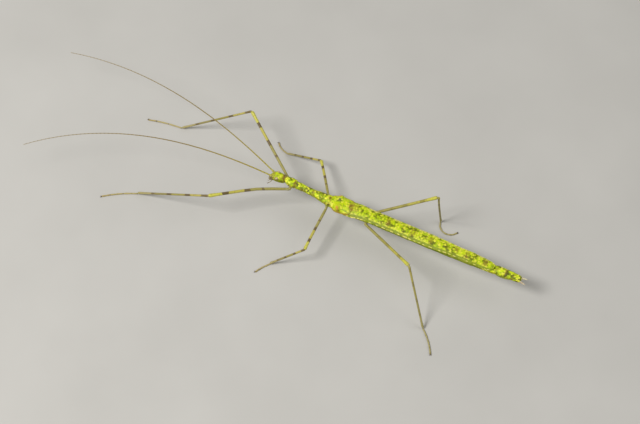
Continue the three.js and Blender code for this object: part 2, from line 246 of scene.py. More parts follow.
def named(name):
    """Names the object that was just made, and hands it back."""
    piece = bpy.context.object
    piece.name = piece.data.name = name
    return piece


def tube(name, sides, rings, shape=None):
    """A closed tube along x through rings of (x, half width, top, bottom). shape edits the first circle."""
    bpy.ops.mesh.primitive_circle_add(vertices=sides, radius=1, fill_type="NGON")
    piece = named(name)
    with editing(piece):
        pick()
        bpy.ops.transform.rotate(value=math.pi / 2, orient_axis="Y", center_override=CENTRE)
        if shape:
            shape()
            pick()
        x, half, top, bottom = rings[0]
        bpy.ops.transform.resize(value=(1, half, (top - bottom) / 2), center_override=CENTRE)
        bpy.ops.transform.translate(value=(x, 0, (top + bottom) / 2))
        for last, (x, half, top, bottom) in zip(rings, rings[1:]):
            middle = (top + bottom) / 2
            move = (x - last[0], 0, middle - (last[2] + last[3]) / 2)
            grow = (1, half / last[1], (top - bottom) / (last[2] - last[3]))
            bpy.ops.mesh.extrude_region_move(TRANSFORM_OT_translate={"value": move})
            bpy.ops.transform.resize(value=grow, center_override=(x, 0, middle))
        bpy.ops.mesh.select_all(action="SELECT")
        bpy.ops.mesh.normals_make_consistent(inside=False)
    return piece


def round_rings(rows):
    """Rings of a limb from rows of (x, half width, half height), or (x, half thickness) if it is round."""
    return [(row[0], row[1], row[-1], -row[-1]) for row in rows]


def follow(piece, line):
    """Lays a straight piece, which starts at x = 0, along a line of points."""
    path = bpy.data.curves.new("path", "CURVE")
    path.dimensions = "3D"
    spline = path.splines.new("POLY")
    spline.points.add(len(line) - 1)
    for point, place in zip(spline.points, line):
        point.co = (*place, 1)
    guide = bpy.data.objects.new("guide", path)
    bpy.context.scene.collection.objects.link(guide)
    apply(piece, "CURVE", object=guide, deform_axis="POS_X")
    bpy.data.objects.remove(guide)
    return piece


# %% [markdown]
# ## The trunk
# The trunk of this insect is one drawn-out tube: a head capsule, a short collar, a very long middle chest,
# and an abdomen of rings. It is extruded ring by ring over the frame's own sections, and pinched a little at
# each suture. The pinches are what tells a reader where one plate of cuticle ends and the next begins.

# %% Extrude the trunk
RING_STEP = 0.25  # mm between rings
TRUNK_SIDES = 32
PINCHES = {0: (0.16, 0.32), 1: (0.1, 0.2)}  # how much neck and collar seam narrow, and over how many mm
SUTURE_PINCH = (0.05, 0.14)  # the same for every other suture


def pinch(x):
    """Share of its full thickness that the trunk has at x, next to its sutures."""
    share = 1.0
    for i, suture in enumerate(sutures):
        depth, reach = PINCHES.get(i, SUTURE_PINCH)
        share -= depth * math.exp(-(((x - suture) / reach) ** 2))
    return share


first, last = outline[0, 0], outline[-1, 0]
rings = []
for x in sorted({*np.arange(first, last, RING_STEP).round(3), *(round(x, 3) for x in sutures), last}):
    half, top, bottom = section_at(x)
    middle = (top + bottom) / 2
    high = (top - bottom) / 2 * pinch(x)
    rings.append((x, half * pinch(x), middle + high, middle - high))
trunk = tube("trunk", TRUNK_SIDES, rings)
trunk.data.materials.append(finish["granular green cuticle"])
print("trunk:", len(rings), "rings,", len(trunk.data.vertices), "vertices")

# %% [markdown]
# The bare tube is then worked as a modeller works a blank: a fine keel is raised along the middle chest, the
# collar gets its cross furrow, and the flank of the abdomen gets the fold where the back plates meet the
# belly plates.

# %% Work the trunk
KEEL_RAISE = 0.06  # mm
FURROW_DEPTH = 0.07
FLANK_FOLD = (97, 115)  # degrees round the trunk from its top line


def round_angle(place):
    """Degrees round the trunk from its top line, the same on both sides."""
    half, top, bottom = section_at(place.x)
    up = (place.z - (top + bottom) / 2) / (top - bottom)
    return math.degrees(math.atan2(abs(place.y) / (2 * half), up))


def push(distance):
    """Moves the selected vertices out along their normals, or in where distance is negative."""
    bpy.ops.transform.shrink_fatten(value=distance)


chest, collar = sutures[1], sutures[0]
with editing(trunk):
    keel = pick(lambda p: abs(p.y) < 0.02 and round_angle(p) < 5 and chest + 0.5 < p.x < sutures[3] - 0.5)
    push(KEEL_RAISE)
    fold = pick(lambda p: FLANK_FOLD[0] < round_angle(p) < FLANK_FOLD[1] and p.x > sutures[3] + 0.3)
    push(-FURROW_DEPTH)
    furrow = pick(lambda p: abs(p.x - (collar + 1.2)) < 0.2 and round_angle(p) < 70)
    push(-FURROW_DEPTH)
    pick(lambda p: abs(p.y) < 0.02 and round_angle(p) < 5 and collar + 0.4 < p.x < chest - 0.4)
    push(-FURROW_DEPTH / 2)
    for side in (-1, 1):  # the raised rim on each side of the collar and the middle chest
        pick(lambda p: 62 < round_angle(p) < 74 and p.y * side > 0 and collar + 0.3 < p.x < sutures[2] - 0.2)
        push(KEEL_RAISE)
apply(trunk, "SUBSURF", levels=1, render_levels=1)
print(f"keel {keel}, fold {fold}, furrow {furrow} vertices")

# %% [markdown]
# ## The head capsule
# A head is not an egg. Each eye sits in a pit with a raised rim, each feeler in a ring-shaped socket, and
# three tiny simple eyes stand on the brow. The crown has a fine seam down its middle with a shallow furrow on
# each side, another furrow runs back from each eye, and the cheek bulges behind the jaw. All of these are
# pushes of a few hundredths of a millimetre on the vertices near a point, and the places of eyes and feelers
# come from the frame.

# %% Places on the straight head
def straight(place):
    """Where a place on the turned head lies once the head is turned back straight."""
    back = Matrix.Rotation(-HEAD_TURN, 2) @ Vector((place.x - NECK, place.y))
    return Vector((back.x + NECK, back.y, place.z))


def span(node):
    """Lowest and highest corner of a node in body millimetres."""
    low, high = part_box(node)
    return low / MM - SHIFT, high / MM - SHIFT


def middle_of(node):
    low, high = span(node)
    return (low + high) / 2


SIDES = ("left", "right")
eye_places = {side: straight(middle_of(f"eye_{side}")) for side in SIDES}
socket_places = {}
for side in SIDES:
    base = middle_line(f"antenna_{side}_base", Vector((NECK, 0, spine(NECK))))
    socket_places[side] = straight(base[0])
print({side: [round(c, 2) for c in place] for side, place in eye_places.items()})

# %% Work the head
OCELLI = [(-9.1, 0), (-8.8, -0.2), (-8.8, 0.2)]  # x and y of the three small simple eyes on the brow


def push_near(place, near, far, distance):
    """Pushes the vertices between two distances from a place along their normals."""
    pick(lambda p: near < (p - place).length < far)
    push(distance)


with editing(trunk):
    count = pick(lambda p: p.x < NECK - 0.1)
    bpy.ops.mesh.subdivide(number_cuts=1, smoothness=1.0)
    for side, sign in zip(SIDES, (-1, 1)):
        cheek = Vector((-9.0, sign * 0.95, spine(-9.0) - 0.45))
        for place, near, far, distance in (
            (eye_places[side], 0, 0.3, -0.1),
            (eye_places[side], 0.36, 0.54, 0.08),
            (eye_places[side], 0.54, 0.62, -0.02),
            (socket_places[side], 0.2, 0.36, 0.1),
            (socket_places[side], 0.36, 0.44, -0.03),
            (cheek, 0, 0.55, 0.04),
            (cheek, 0, 0.4, 0.03),
        ):
            push_near(place, near, far, distance)
        pick(lambda p: abs(p.y - sign * (0.3 - 0.1 * (p.x + 7))) < 0.04 and p.z > spine(p.x) + 0.5
             and -8.4 < p.x < -7)  # the furrow beside the crown seam
        push(-0.035)
        pick(lambda p: abs(p.z - spine(p.x) - 0.1) < 0.04 and p.y * sign > 0.4
             and -8.1 < p.x < -7)  # the furrow behind the eye
        push(-0.04)
    for x, y in OCELLI:
        push_near(Vector((x, y, section_at(x)[1])), 0, 0.17, 0.035)
    pick(lambda p: abs(p.y) < 0.03 and p.z > spine(p.x) + 0.3 and -8.6 < p.x < -6.9)  # the crown seam
    push(-0.045)
    pick(lambda p: abs(p.x + 9.62) < 0.05 and p.z > spine(p.x) + 0.1 and abs(p.y) < 0.5)  # the brow's groove
    push(-0.05)
    pick(lambda p: -7.0 < p.x < -6.85)  # the rim at the back of the head
    push(0.04)
    for side in SIDES:  # pits and sockets are worn soft
        for place, reach in ((eye_places[side], 0.85), (socket_places[side], 0.6)):
            pick(lambda p: (p - place).length < reach)
            bpy.ops.mesh.vertices_smooth(factor=0.5, repeat=3)
print("the head had", count, "vertices and was divided once more")

# %% [markdown]
# ## Granules
# This insect's cuticle isn't smooth. Its collar and middle chest are set with small round granules, the rings
# of the abdomen are finely wrinkled, and the head is smoother. A Displace modifier with a cell pattern raises
# them, and a vertex group says how strong it is at each place.

# %% Raise the granules
GRANULE = 0.45  # mm from one to the next
GRANULE_HEIGHT = 0.15
ROUGHNESS = [(NECK, 0.35), (sutures[3], 1.0), (99, 0.55)]  # strength on head, chest and abdomen, up to x

granules = bpy.data.textures.new("granules", "VORONOI")
granules.noise_scale = GRANULE
weights = trunk.vertex_groups.new(name="granular")
for vertex in trunk.data.vertices:
    strength = next(share for end, share in ROUGHNESS if vertex.co.x < end)
    below = round_angle(vertex.co) > 120
    weights.add([vertex.index], strength * (0.4 if below else 1), "REPLACE")
apply(trunk, "DISPLACE", texture=granules, texture_coords="LOCAL", vertex_group="granular",
      strength=-GRANULE_HEIGHT, mid_level=0.5)
print("granules every", GRANULE, "mm on", len(trunk.data.vertices), "vertices")

# %% Turn the head
def turn_with_head(piece):
    """Turns what belongs to the head about the neck, to the animal's left."""
    with editing(piece):
        pick(lambda p: p.x < NECK)
        bpy.ops.transform.rotate(value=-HEAD_TURN, orient_axis="Z", center_override=(NECK, 0, 0))


turn_with_head(trunk)
face = min(trunk.data.vertices, key=lambda v: v.co.x).co
print(f"the face is at y {face.y:.2f} mm")

# %% [markdown]
# ## The wings
# In life the hindwing is a wide fan, pleated and tucked under a narrow leathery strip, its stiff front edge.
# The two strips lie side by side on the back and look like one long shield. Two small thick covers, the
# tegmina, sit over the wing roots. Each plate starts as a flat grid, takes its outline from the solid in the
# frame, is dropped onto a smooth form of the back by a Shrinkwrap modifier, and gets its veins by an inset of
# every cell.

# %% A form for the wings to lie on
COVER_LIFT = 0.78  # mm that the wing covers' outer face stands above the trunk
COVER_HINGE = 0.15  # the same at its front edge, where it is hinged
ROOT_LIFT = 0.45  # the same for the hindwing, where it slips under the covers
TIP_LIFT = 0.26  # the same at the hindwing's tip
WING_SKIN = 0.12  # thickness of a wing plate
WIDEST = 0.93  # mm below its top line, where the trunk is widest

cover_low, cover_high = span("tegmen_right")
wing_high = span("hindwing_right")[1]
hinge = cover_low.x - 0.5  # x of the covers' front edge, where they thin out on the chest


def back_form(name, lift):
    """A smooth tube round the trunk behind the neck, standing lift(x) mm off it."""
    rings = []
    for x in np.arange(hinge - 0.6, wing_high.x + 1, 0.5):
        half, top, _ = section_at(x)
        off = lift(x)
        rings.append((x, half + off + GAP / 2, top + off, 2 * (top - WIDEST) - top - off))
    return apply(tube(name, 48, rings), "SUBSURF", levels=1, render_levels=1)


def wing_lift(x):
    """The hindwing rises from its root, under the cover, to its full height, and comes down at its tip."""
    places = [cover_high.x - 0.3, cover_high.x + 1.6, wing_high.x - 6, wing_high.x - 0.2]
    return float(np.interp(x, places, [ROOT_LIFT, COVER_LIFT, COVER_LIFT, TIP_LIFT]))


def cover_lift(x):
    """The covers are hinged low on the chest and rise over the hindwing roots."""
    return float(np.interp(x, [hinge, hinge + 1.9], [COVER_HINGE, COVER_LIFT]))


LIFTS = {"tegmen": cover_lift, "hindwing": wing_lift}
forms = {kind: back_form(f"{kind}_form", lift) for kind, lift in LIFTS.items()}
print("wing covers", [round(c, 2) for c in cover_low], "to", [round(c, 2) for c in cover_high])

# %% Wing plates
WING_CELLS = {"tegmen": (16, 9), "hindwing": (56, 12)}  # cells along and across
WING_TIP = {"tegmen": (1.5, 0.5), "hindwing": (2.4, 0.3)}  # mm that the tip is rounded over, width left there
WING_ROOT = {"tegmen": (1.9, 0.55), "hindwing": (0.5, 0.9)}  # the same for the root
VEIN_WIDTH = 0.035  # mm on each side of a cell
VEIN_HEIGHT = 0.035
HUMP = 0.7  # mm that the shoulder of a cover stands up
CREST = (0.37, 1.45)  # where its top lies: share along the cover, mm from the middle line
CREST_RADII = (0.35, 1.3)  # of its flat top and of its foot
PARKED = 500  # mm in front of the animal, where the columns of a grid wait to be placed one by one
DROPPED_FROM = 12  # mm, the height of a grid before it is dropped onto its form
FORM_MARGIN = 0.05  # mm that a plate's edge stays inside its form at least
EDGE_MARGIN = 0.03  # the same for its solid
COVER_LAP = 0.02  # mm that each cover reaches past the middle line
WING_LAPS = (0.18, -0.04)  # the same for the left and the right wing strip
WING_HIDDEN = 2.6  # mm of a wing strip that lie under its cover


def wing_edge(node, end):
    """A function of x: how far from the middle line a wing's solid reaches there, up to its tapered end."""
    stations = defaultdict(float)
    for x, y, _ in corners(node):
        if x < end:
            stations[round(x, 1)] = max(stations[round(x, 1)], abs(y))
    xs = sorted(stations)
    ys = [stations[x] for x in xs]
    widest = max(ys)
    first = next(i for i, y in enumerate(ys) if y > widest * 0.8)
    return lambda x: float(np.interp(x, xs[first:], ys[first:]))


def wing_columns(kind, front, rear):
    """Even places along a wing, closer together in its rounded tip."""
    tip, _ = WING_TIP[kind]
    count = WING_CELLS[kind][0]
    near_tip = 4
    body = np.linspace(front, rear - tip, count - near_tip + 1)
    bend = rear - tip + tip * np.sin(np.linspace(0, math.pi / 2, near_tip + 1))[1:]
    return [float(x) for x in (*body, *bend)]


def flip():
    """Mirrors the selection to the other side of the animal."""
    bpy.ops.transform.mirror(constraint_axis=(False, True, False), center_override=CENTRE)


def wing_plate(kind, name, front, inner, hump=0.0):
    """A veined plate on one side of the back, from front to its solid's rear, inner mm past the middle."""
    side = -1 if name == "left" else 1
    node = f"{kind}_{name}"
    rear = span(node)[1].x
    along, across = WING_CELLS[kind]
    bpy.ops.mesh.primitive_grid_add(x_subdivisions=along, y_subdivisions=across, size=2, calc_uvs=True)
    plate = named(f"{kind}_plate_{name}")
    tip, at_tip = WING_TIP[kind]
    root, at_root = WING_ROOT[kind]
    edge = wing_edge(node, rear - tip)
    with editing(plate):
        pick()
        bpy.ops.transform.resize(value=(along / 2, 0.5, 1), center_override=CENTRE)
        bpy.ops.transform.translate(value=(along / 2 - PARKED, 0.5, DROPPED_FROM))
        for i, x in enumerate(wing_columns(kind, front, rear)):
            past = min(max((x - (rear - tip)) / tip, 0), 1)
            before = min(max((front + root - x) / root, 0), 1)
            form_half = section_at(x)[0] + LIFTS[kind](x) + GAP / 2  # narrower than the solid at the hinge
            outer = min(edge(x), form_half - FORM_MARGIN) - EDGE_MARGIN
            outer *= at_tip + (1 - at_tip) * math.sqrt(1 - past * past)
            outer *= at_root + (1 - at_root) * math.sqrt(1 - before * before)
            pick(lambda p: abs(p.x - (i - PARKED)) < 0.01)
            bpy.ops.transform.resize(value=(1, outer + inner, 1), center_override=CENTRE)
            bpy.ops.transform.translate(value=(x - (i - PARKED), -inner, 0))
        pick()
        if side < 0:
            flip()
    apply(plate, "SHRINKWRAP", target=forms[kind], wrap_method="PROJECT", use_project_z=True,
          use_positive_direction=False, use_negative_direction=True)
    with editing(plate):
        pick()
        bpy.ops.mesh.normals_make_consistent(inside=False)
        if hump:
            crest = Vector((front + (rear - front) * CREST[0], side * CREST[1]))
            pick(lambda p: (p.xy - crest).length < CREST_RADII[0])
            bpy.ops.transform.translate(value=(0, side * hump * 0.3, hump), use_proportional_edit=True,
                                        proportional_edit_falloff="SMOOTH", proportional_size=CREST_RADII[1])
        pick()
        bpy.ops.transform.vertex_random(offset=0.05, uniform=0.0, normal=0.0, seed=3)
        bpy.ops.mesh.inset(thickness=VEIN_WIDTH, depth=-VEIN_HEIGHT, use_individual=True)
    cell = plate.data.attributes.new("cell", "FLOAT", "FACE")  # 1 on the membrane of a cell, 0 on a vein
    cell.data.foreach_set("value", [float(face.select) for face in plate.data.polygons])
    apply(plate, "SOLIDIFY", thickness=WING_SKIN, offset=-1)
    apply(plate, "SUBSURF", levels=1, render_levels=1)
    return plate


covers = [wing_plate("tegmen", name, hinge, COVER_LAP, HUMP) for name in SIDES]
wing_front = cover_high.x - WING_HIDDEN
wings = [wing_plate("hindwing", name, wing_front, lap) for name, lap in zip(SIDES, WING_LAPS)]
for piece in (*covers, *wings):
    top = max(v.co.z for v in piece.data.vertices)
    print(piece.name, len(piece.data.polygons), "faces, top at", round(top, 2), "mm")
for form in forms.values():
    bpy.data.objects.remove(form)

# %% [markdown]
# Under the stiff strips lies the folded fan itself. Only its edge shows, as a stack of fine pleats along the
# flank and at the tip. It is a tube whose section is pleated before it is extruded, half sunk in the back.

# %% The folded fan
PLEATS = 36
PLEAT_DEPTH = 0.9  # inner folds stand at this share of the outer ones
FAN_SUNK = 1.15  # mm that its underside lies below the back's top line
OPENS, CLOSES = 2.5, 8  # mm over which it lifts off the back at its root and sinks to it at the wing tips


def every_second(corners_round, scale):
    """Scales every second corner of a tube's first circle, which makes it pleated or ridged."""
    pick(lambda p: round(math.degrees(math.atan2(p.y, p.z)) / (360 / corners_round)) % 2 == 0)
    bpy.ops.transform.resize(value=(1, scale, scale), center_override=CENTRE)


first, last = cover_high.x - 2.0, wing_high.x - 0.5
rings = []
for x in np.linspace(first, last, 60):
    half, top, _ = section_at(x)
    closed = max(0, (x - last + CLOSES) / (CLOSES + 0.1))
    open_ = min(1, (x - first + 0.3) / OPENS) * math.sqrt(max(0.02, 1 - closed**2))
    off = (wing_lift(x) - WING_SKIN - 0.06) * open_
    wide = (half + off * 0.6) * (0.7 + 0.3 * open_)
    rings.append((x, wide, top + off - 0.35 * (1 - open_), top - FAN_SUNK))
fan = tube("wing_fan", 2 * PLEATS, rings, lambda: every_second(2 * PLEATS, PLEAT_DEPTH))
print("fan:", len(fan.data.vertices), "vertices")

# %% [markdown]
# ## The legs
# A leg has a short coxa in its socket, a long femur, a long tibia and a foot of five small joints, the
# tarsus. All three long parts are ridged along their length. Each is drawn once, straight and one unit long,
# then copied six times, stretched to the length of its line in the frame, and laid along it. The lines
# already carry the bow of the left foreleg's femur and the curl of each foot.

# %% Straight limb parts
LIMB_SIDES = 12
RIDGE = 1.12  # every second corner of a limb's section stands out by this much
FEMUR = [  # share of its length, half thickness in mm
    (0, 0.2), (0.006, 0.28), (0.02, 0.33), (0.045, 0.32), (0.055, 0.28), (0.07, 0.31), (0.2, 0.33),
    (0.5, 0.33), (0.8, 0.33), (0.9, 0.36), (0.95, 0.41), (0.975, 0.42), (0.99, 0.36), (1, 0.2),
]
TIBIA = [
    (0, 0.18), (0.006, 0.25), (0.03, 0.29), (0.06, 0.25), (0.2, 0.24), (0.6, 0.235), (0.9, 0.24),
    (0.96, 0.28), (0.985, 0.27), (1, 0.16),
]
TARSUS_ENDS = [0, 0.42, 0.62, 0.76, 0.86, 1]  # where its five joints end
TARSUS_PROFILE = [(0, 0.12), (0.15, 0.17), (0.55, 0.175), (0.85, 0.21), (0.97, 0.15)]  # of one joint


def ridged(name, rows):
    """A long limb part from the rows of a profile, with evenly spaced ones added between them."""
    shares = sorted({*(row[0] for row in rows), *np.linspace(0, 1, 40).round(4)})
    half = np.interp(shares, *zip(*rows))
    return tube(name, LIMB_SIDES, round_rings(zip(shares, half)), lambda: every_second(LIMB_SIDES, RIDGE))


tarsus = []
for near, far in zip(TARSUS_ENDS, TARSUS_ENDS[1:]):
    tarsus += [(near + share * (far - near), half) for share, half in TARSUS_PROFILE]
masters = {
    "femur": ridged("femur_master", FEMUR),
    "tibia": ridged("tibia_master", TIBIA),
    "tarsus": tube("tarsus_master", LIMB_SIDES, round_rings(tarsus)),
}
for name, master in masters.items():
    print(name, len(master.data.vertices), "vertices")

# %% Lay the limbs
def length_of(line):
    return sum((b - a).length for a, b in zip(line, line[1:]))


def mark(piece, name, values):
    """Keeps one number for each vertex, for the patterns to read."""
    attribute = piece.data.attributes.new(name, "FLOAT", "POINT")
    attribute.data.foreach_set("value", np.array(values, dtype=np.float32))


def laid(piece, line, start, material, sunk=0.12):
    """Lays a straight part of unit length along a line, sunk mm into what carries it, and marks its share."""
    line = [line[0] + (line[0] - line[1]).normalized() * sunk, *line[1:]]
    mark(piece, "along", [start + v.co.x for v in piece.data.vertices])
    piece.data.materials.append(finish[material])
    only(piece)
    piece.scale = (length_of(line), 1, 1)
    bpy.ops.object.transform_apply(location=False, rotation=False, scale=True)
    return follow(piece, line)


def copy_of(master, name):
    piece = bpy.data.objects.new(name, master.data.copy())
    bpy.context.scene.collection.objects.link(piece)
    return piece


def leg_lines(pair, side):
    """The lines of one leg's coxa, femur, tibia and tarsus, meeting at its joints."""
    start = Vector((span(f"coxa_{pair}_{side}")[0].x, 0, 9))
    lines = {}
    for part in ("coxa", "femur", "tibia", "tarsus"):
        line = middle_line(f"{part}_{pair}_{side}", start)
        if lines:
            before = list(lines.values())[-1]
            joint = (before[-1] + line[0]) / 2
            before[-1] = joint
            line[0] = joint
        lines[part] = line
        start = line[-1]
    return lines


PAIRS = ("fore", "mid", "hind")
FAINT = 10  # added to the marks of the hind legs, whose bands are fainter
legs = {(pair, side): leg_lines(pair, side) for pair in PAIRS for side in SIDES}
limbs = {side: [] for side in SIDES}
for (pair, side), lines in legs.items():
    for i, part in enumerate(("femur", "tibia", "tarsus")):
        start = i + (FAINT if pair == "hind" else 0)
        piece = copy_of(masters[part], f"{part}_{pair}_{side}_skin")
        limbs[side].append(laid(piece, lines[part], start, "banded leg cuticle"))
    print(pair, side, {part: round(length_of(line), 1) for part, line in lines.items()})
for master in masters.values():
    bpy.data.objects.remove(master)

# %% Coxae
COXA = [(0, 0.34), (0.26, 0.44), (0.6, 0.45), (0.74, 0.38), (0.8, 0.3), (0.86, 0.36), (0.97, 0.3), (1, 0.2)]
COXA_MORE = (0.23, 0.25)  # mm that it goes on into the trunk and into the femur
for (pair, side), lines in legs.items():
    inner, hip = lines["coxa"][0], lines["coxa"][-1]
    out = (hip - inner).normalized()
    coxa = tube(f"coxa_{pair}_{side}_skin", LIMB_SIDES, round_rings(COXA))
    ends = [inner - out * COXA_MORE[0], hip + out * COXA_MORE[1]]
    laid(coxa, ends, FAINT - 1 if pair == "hind" else -1, "banded leg cuticle")
    limbs[side].append(coxa)
print({side: len(pieces) for side, pieces in limbs.items()}, "limb pieces")

# %% [markdown]
# ## Claws
# Each foot ends in two curved claws with a soft pad between them. A claw is a tapering tube bent along a
# short hook, made once, turned to the end of each foot and set down so that its tip just touches the floor.

# %% Claws and pads
CLAW_LENGTH = 0.62  # mm along its curve
CLAW_LIFT, PAD_LIFT = 0.17, 0.1  # mm that their roots stand off the floor
TOE_SUNK = 0.12  # mm that they are set into the foot
CLAW_HOOK = [(0, 0, 0), (0.16, 0.03, 0.05), (0.32, 0.08, 0.05), (0.45, 0.13, -0.01), (0.52, 0.16, -0.12)]
claw_rows = [(0, 0.07), (0.2 * CLAW_LENGTH, 0.085), (0.6 * CLAW_LENGTH, 0.055), (0.97 * CLAW_LENGTH, 0.015)]
claw_master = follow(tube("claw_master", 8, round_rings(claw_rows)), CLAW_HOOK)
pad_rows = [(0, 0.05, 0.04), (0.06, 0.1, 0.06), (0.16, 0.12, 0.07), (0.26, 0.09, 0.06), (0.3, 0.04, 0.03)]
pad_master = tube("pad_master", 12, round_rings(pad_rows))


def set_down(piece, toe, heading, lift):
    """Turns a copy to the foot's heading, seen from above, and puts it at the toe, lift mm off the floor."""
    only(piece)
    turn = Matrix.Rotation(math.atan2(heading.y, heading.x), 4, "Z")
    piece.matrix_world = Matrix.Translation((toe.x, toe.y, lift)) @ turn
    bpy.ops.object.transform_apply(location=True, rotation=True, scale=True)
    return piece


def joined(name, group):
    only(*group)
    bpy.ops.object.join()
    return named(name)


claw_pieces, pad_pieces = [], []
for lines in legs.values():
    foot = lines["tarsus"]
    heading = (foot[-1] - foot[-3]).normalized()
    toe = foot[-1] - heading * TOE_SUNK
    for sign in (-1, 1):
        claw = copy_of(claw_master, "claw")
        with editing(claw):
            pick()
            if sign < 0:
                flip()
                bpy.ops.mesh.normals_make_consistent(inside=False)
            bpy.ops.transform.translate(value=(0, sign * 0.05, 0))
        claw_pieces.append(set_down(claw, toe, heading, CLAW_LIFT))
    pad_pieces.append(set_down(copy_of(pad_master, "pad"), toe + heading * 0.05, heading, PAD_LIFT))
claws, pads = joined("claws", claw_pieces), joined("foot_pads", pad_pieces)
for master in (claw_master, pad_master):
    bpy.data.objects.remove(master)
print("claws:", len(claws.data.polygons), "faces, pads:", len(pads.data.polygons))

# %% [markdown]
# ## The feelers
# The feelers are nearly as long as the animal. A thick first joint, the scape, sits in a socket on the face,
# a small pedicel follows, and then more than sixty thin joints of about a millimetre, each a little narrower
# than the one before. The joints are drawn as a straight beaded wire and then laid along the line in the
# frame.

# %% Feelers
FEELER_SIDES = 8
SCAPE = [(0, 0.2), (0.08, 0.27), (0.5, 0.3), (0.85, 0.28), (0.95, 0.17)]  # mm along, half thickness
PEDICEL = [(1.0, 0.19), (1.12, 0.23), (1.25, 0.22), (1.35, 0.15)]
WHIP = (0.19, 0.08)  # half thickness of the first and the last joint
JOINT = 1.0  # mm
WHIP_START = PEDICEL[-1][0] + 0.04  # mm along the feeler


def feeler_rows(length):
    """Rows of (mm along, half thickness) from the scape to the tip."""
    rows = [*SCAPE, *PEDICEL]
    count = int((length - WHIP_START) / JOINT)
    step = (length - WHIP_START) / count
    for i in range(count):
        half = float(np.interp(i / (count - 1), [0, 0.15, 1], [WHIP[0], WHIP[0] * 0.86, WHIP[1]]))
        x = WHIP_START + i * step
        rows += [(x + 0.02, half * 0.8), (x + 0.12 * step, half), (x + 0.86 * step, half * 0.95)]
    return [*rows, (length, WHIP[1] * 0.45)]


def feeler_line(side):
    """The line of one feeler from inside its socket to its tip."""
    line = []
    start = Vector((NECK, 0, spine(NECK)))
    for part in ("base", "1", "2", "3"):
        stretch = middle_line(f"antenna_{side}_{part}", start)
        line += stretch
        start = line[-1]
    inwards = (line[0] - line[1]).normalized()
    return [line[0] + inwards * 0.15, *line[1:]]


feeler_lines = {side: feeler_line(side) for side in SIDES}
for side, line in feeler_lines.items():
    rows = feeler_rows(length_of(line))
    feeler = tube(f"feeler_{side}_skin", FEELER_SIDES, round_rings(rows))
    mark(feeler, "along", [v.co.x for v in feeler.data.vertices])
    feeler.data.materials.append(finish["ringed feeler cuticle"])
    limbs[side].append(follow(feeler, line))
    print("feeler", side, round(length_of(line), 1), "mm,", len(rows), "rings")

# %% [markdown]
# ## The end of the abdomen
# Two short pale feelers, the cerci, stand out under the last ring, and a keeled plate closes the body below.

# %% Cerci and the keel plate
CERCUS = [(0, 0.18), (0.15, 0.23), (0.45, 0.22), (0.8, 0.16), (0.94, 0.1), (1, 0.04)]  # share along, half
for side in SIDES:
    line = middle_line(f"cercus_{side}", Vector((sutures[-1], 0, spine(sutures[-1]))))
    cercus = tube(f"cercus_{side}_skin", LIMB_SIDES, round_rings(CERCUS))
    limbs[side].append(laid(cercus, line, 0, "pale soft cuticle", sunk=0.7))

PLATE = [  # share along, share of its width, share of its depth below the abdomen
    (0, 0.55, 0.1), (0.06, 0.8, 0.35), (0.2, 1, 0.8), (0.4, 1, 1),
    (0.65, 0.9, 0.85), (0.85, 0.66, 0.5), (0.96, 0.36, 0.22), (1, 0.16, 0.08),
]
PLATE_DEPTH = 0.85  # of its solid's
low, high = span("subgenital_plate")
rings = []
for share, wide, deep in PLATE:
    x = low.x + (high.x - low.x) * share
    under = section_at(x)[2]
    below = (under + 0.05 - low.z) * deep * PLATE_DEPTH
    rings.append((x, (high.y - low.y) / 2 * wide, under + 0.35, under + 0.1 - below))
keel_plate = tube("keel_plate_skin", 24, rings)
apply(keel_plate, "SUBSURF", levels=1, render_levels=1)
keel_plate.data.materials.append(finish["granular green cuticle"])
print("keel plate from", round(low.x, 1), "to", round(high.x, 1), "mm")

# %% [markdown]
# ## Eyes and mouthparts
# The eyes are domes of many small lenses on the sides of the head, behind the feelers. Below the face hangs a
# broad upper lip over two blunt jaws, and two pairs of jointed palps, with which the animal feels its food,
# stand to the sides and to the front.

# %% Eyes
EYE_SUNK = 0.18  # mm that an eye's middle sits deeper than its solid's


def eye(side):
    low, high = span(f"eye_{side}")
    place = (low + high) / 2
    place.y -= math.copysign(EYE_SUNK, place.y)
    bpy.ops.mesh.primitive_ico_sphere_add(subdivisions=5, radius=1)
    ball = named(f"eye_{side}_dome")
    with editing(ball):
        pick()
        bpy.ops.transform.resize(value=(high - low) * 0.5, center_override=CENTRE)
        bpy.ops.transform.translate(value=place)
    return ball


eyes = [eye(side) for side in SIDES]
print("eyes", [round(side, 3) for side in eyes[0].dimensions], "mm")

# %% Lip, jaws and the floor of the mouth
mouth_low, mouth_high = span("mouthparts")
mouth_z = (mouth_low.z + mouth_high.z) / 2
FACE = -10.2  # x of the face
core_rows = [
    (-10.95, 0.24, mouth_z + 0.14, mouth_z - 0.2), (-10.8, 0.44, mouth_z + 0.36, mouth_z - 0.32),
    (-10.4, 0.62, mouth_z + 0.75, mouth_z - 0.36), (-9.9, 0.7, mouth_z + 0.95, mouth_z - 0.34),
    (-9.4, 0.66, mouth_z + 0.8, mouth_z - 0.28), (-9.0, 0.5, mouth_z + 0.8, mouth_z + 0.0),
    (-8.8, 0.3, mouth_z + 0.8, mouth_z + 0.3),
]
mouth = tube("mouth", 24, core_rows)
apply(mouth, "SUBSURF", levels=1, render_levels=1)


def at_mouth(*places):
    """A line through places whose height is counted from the middle of the mouth."""
    return [Vector((x, y, mouth_z + up)) for x, y, up in places]


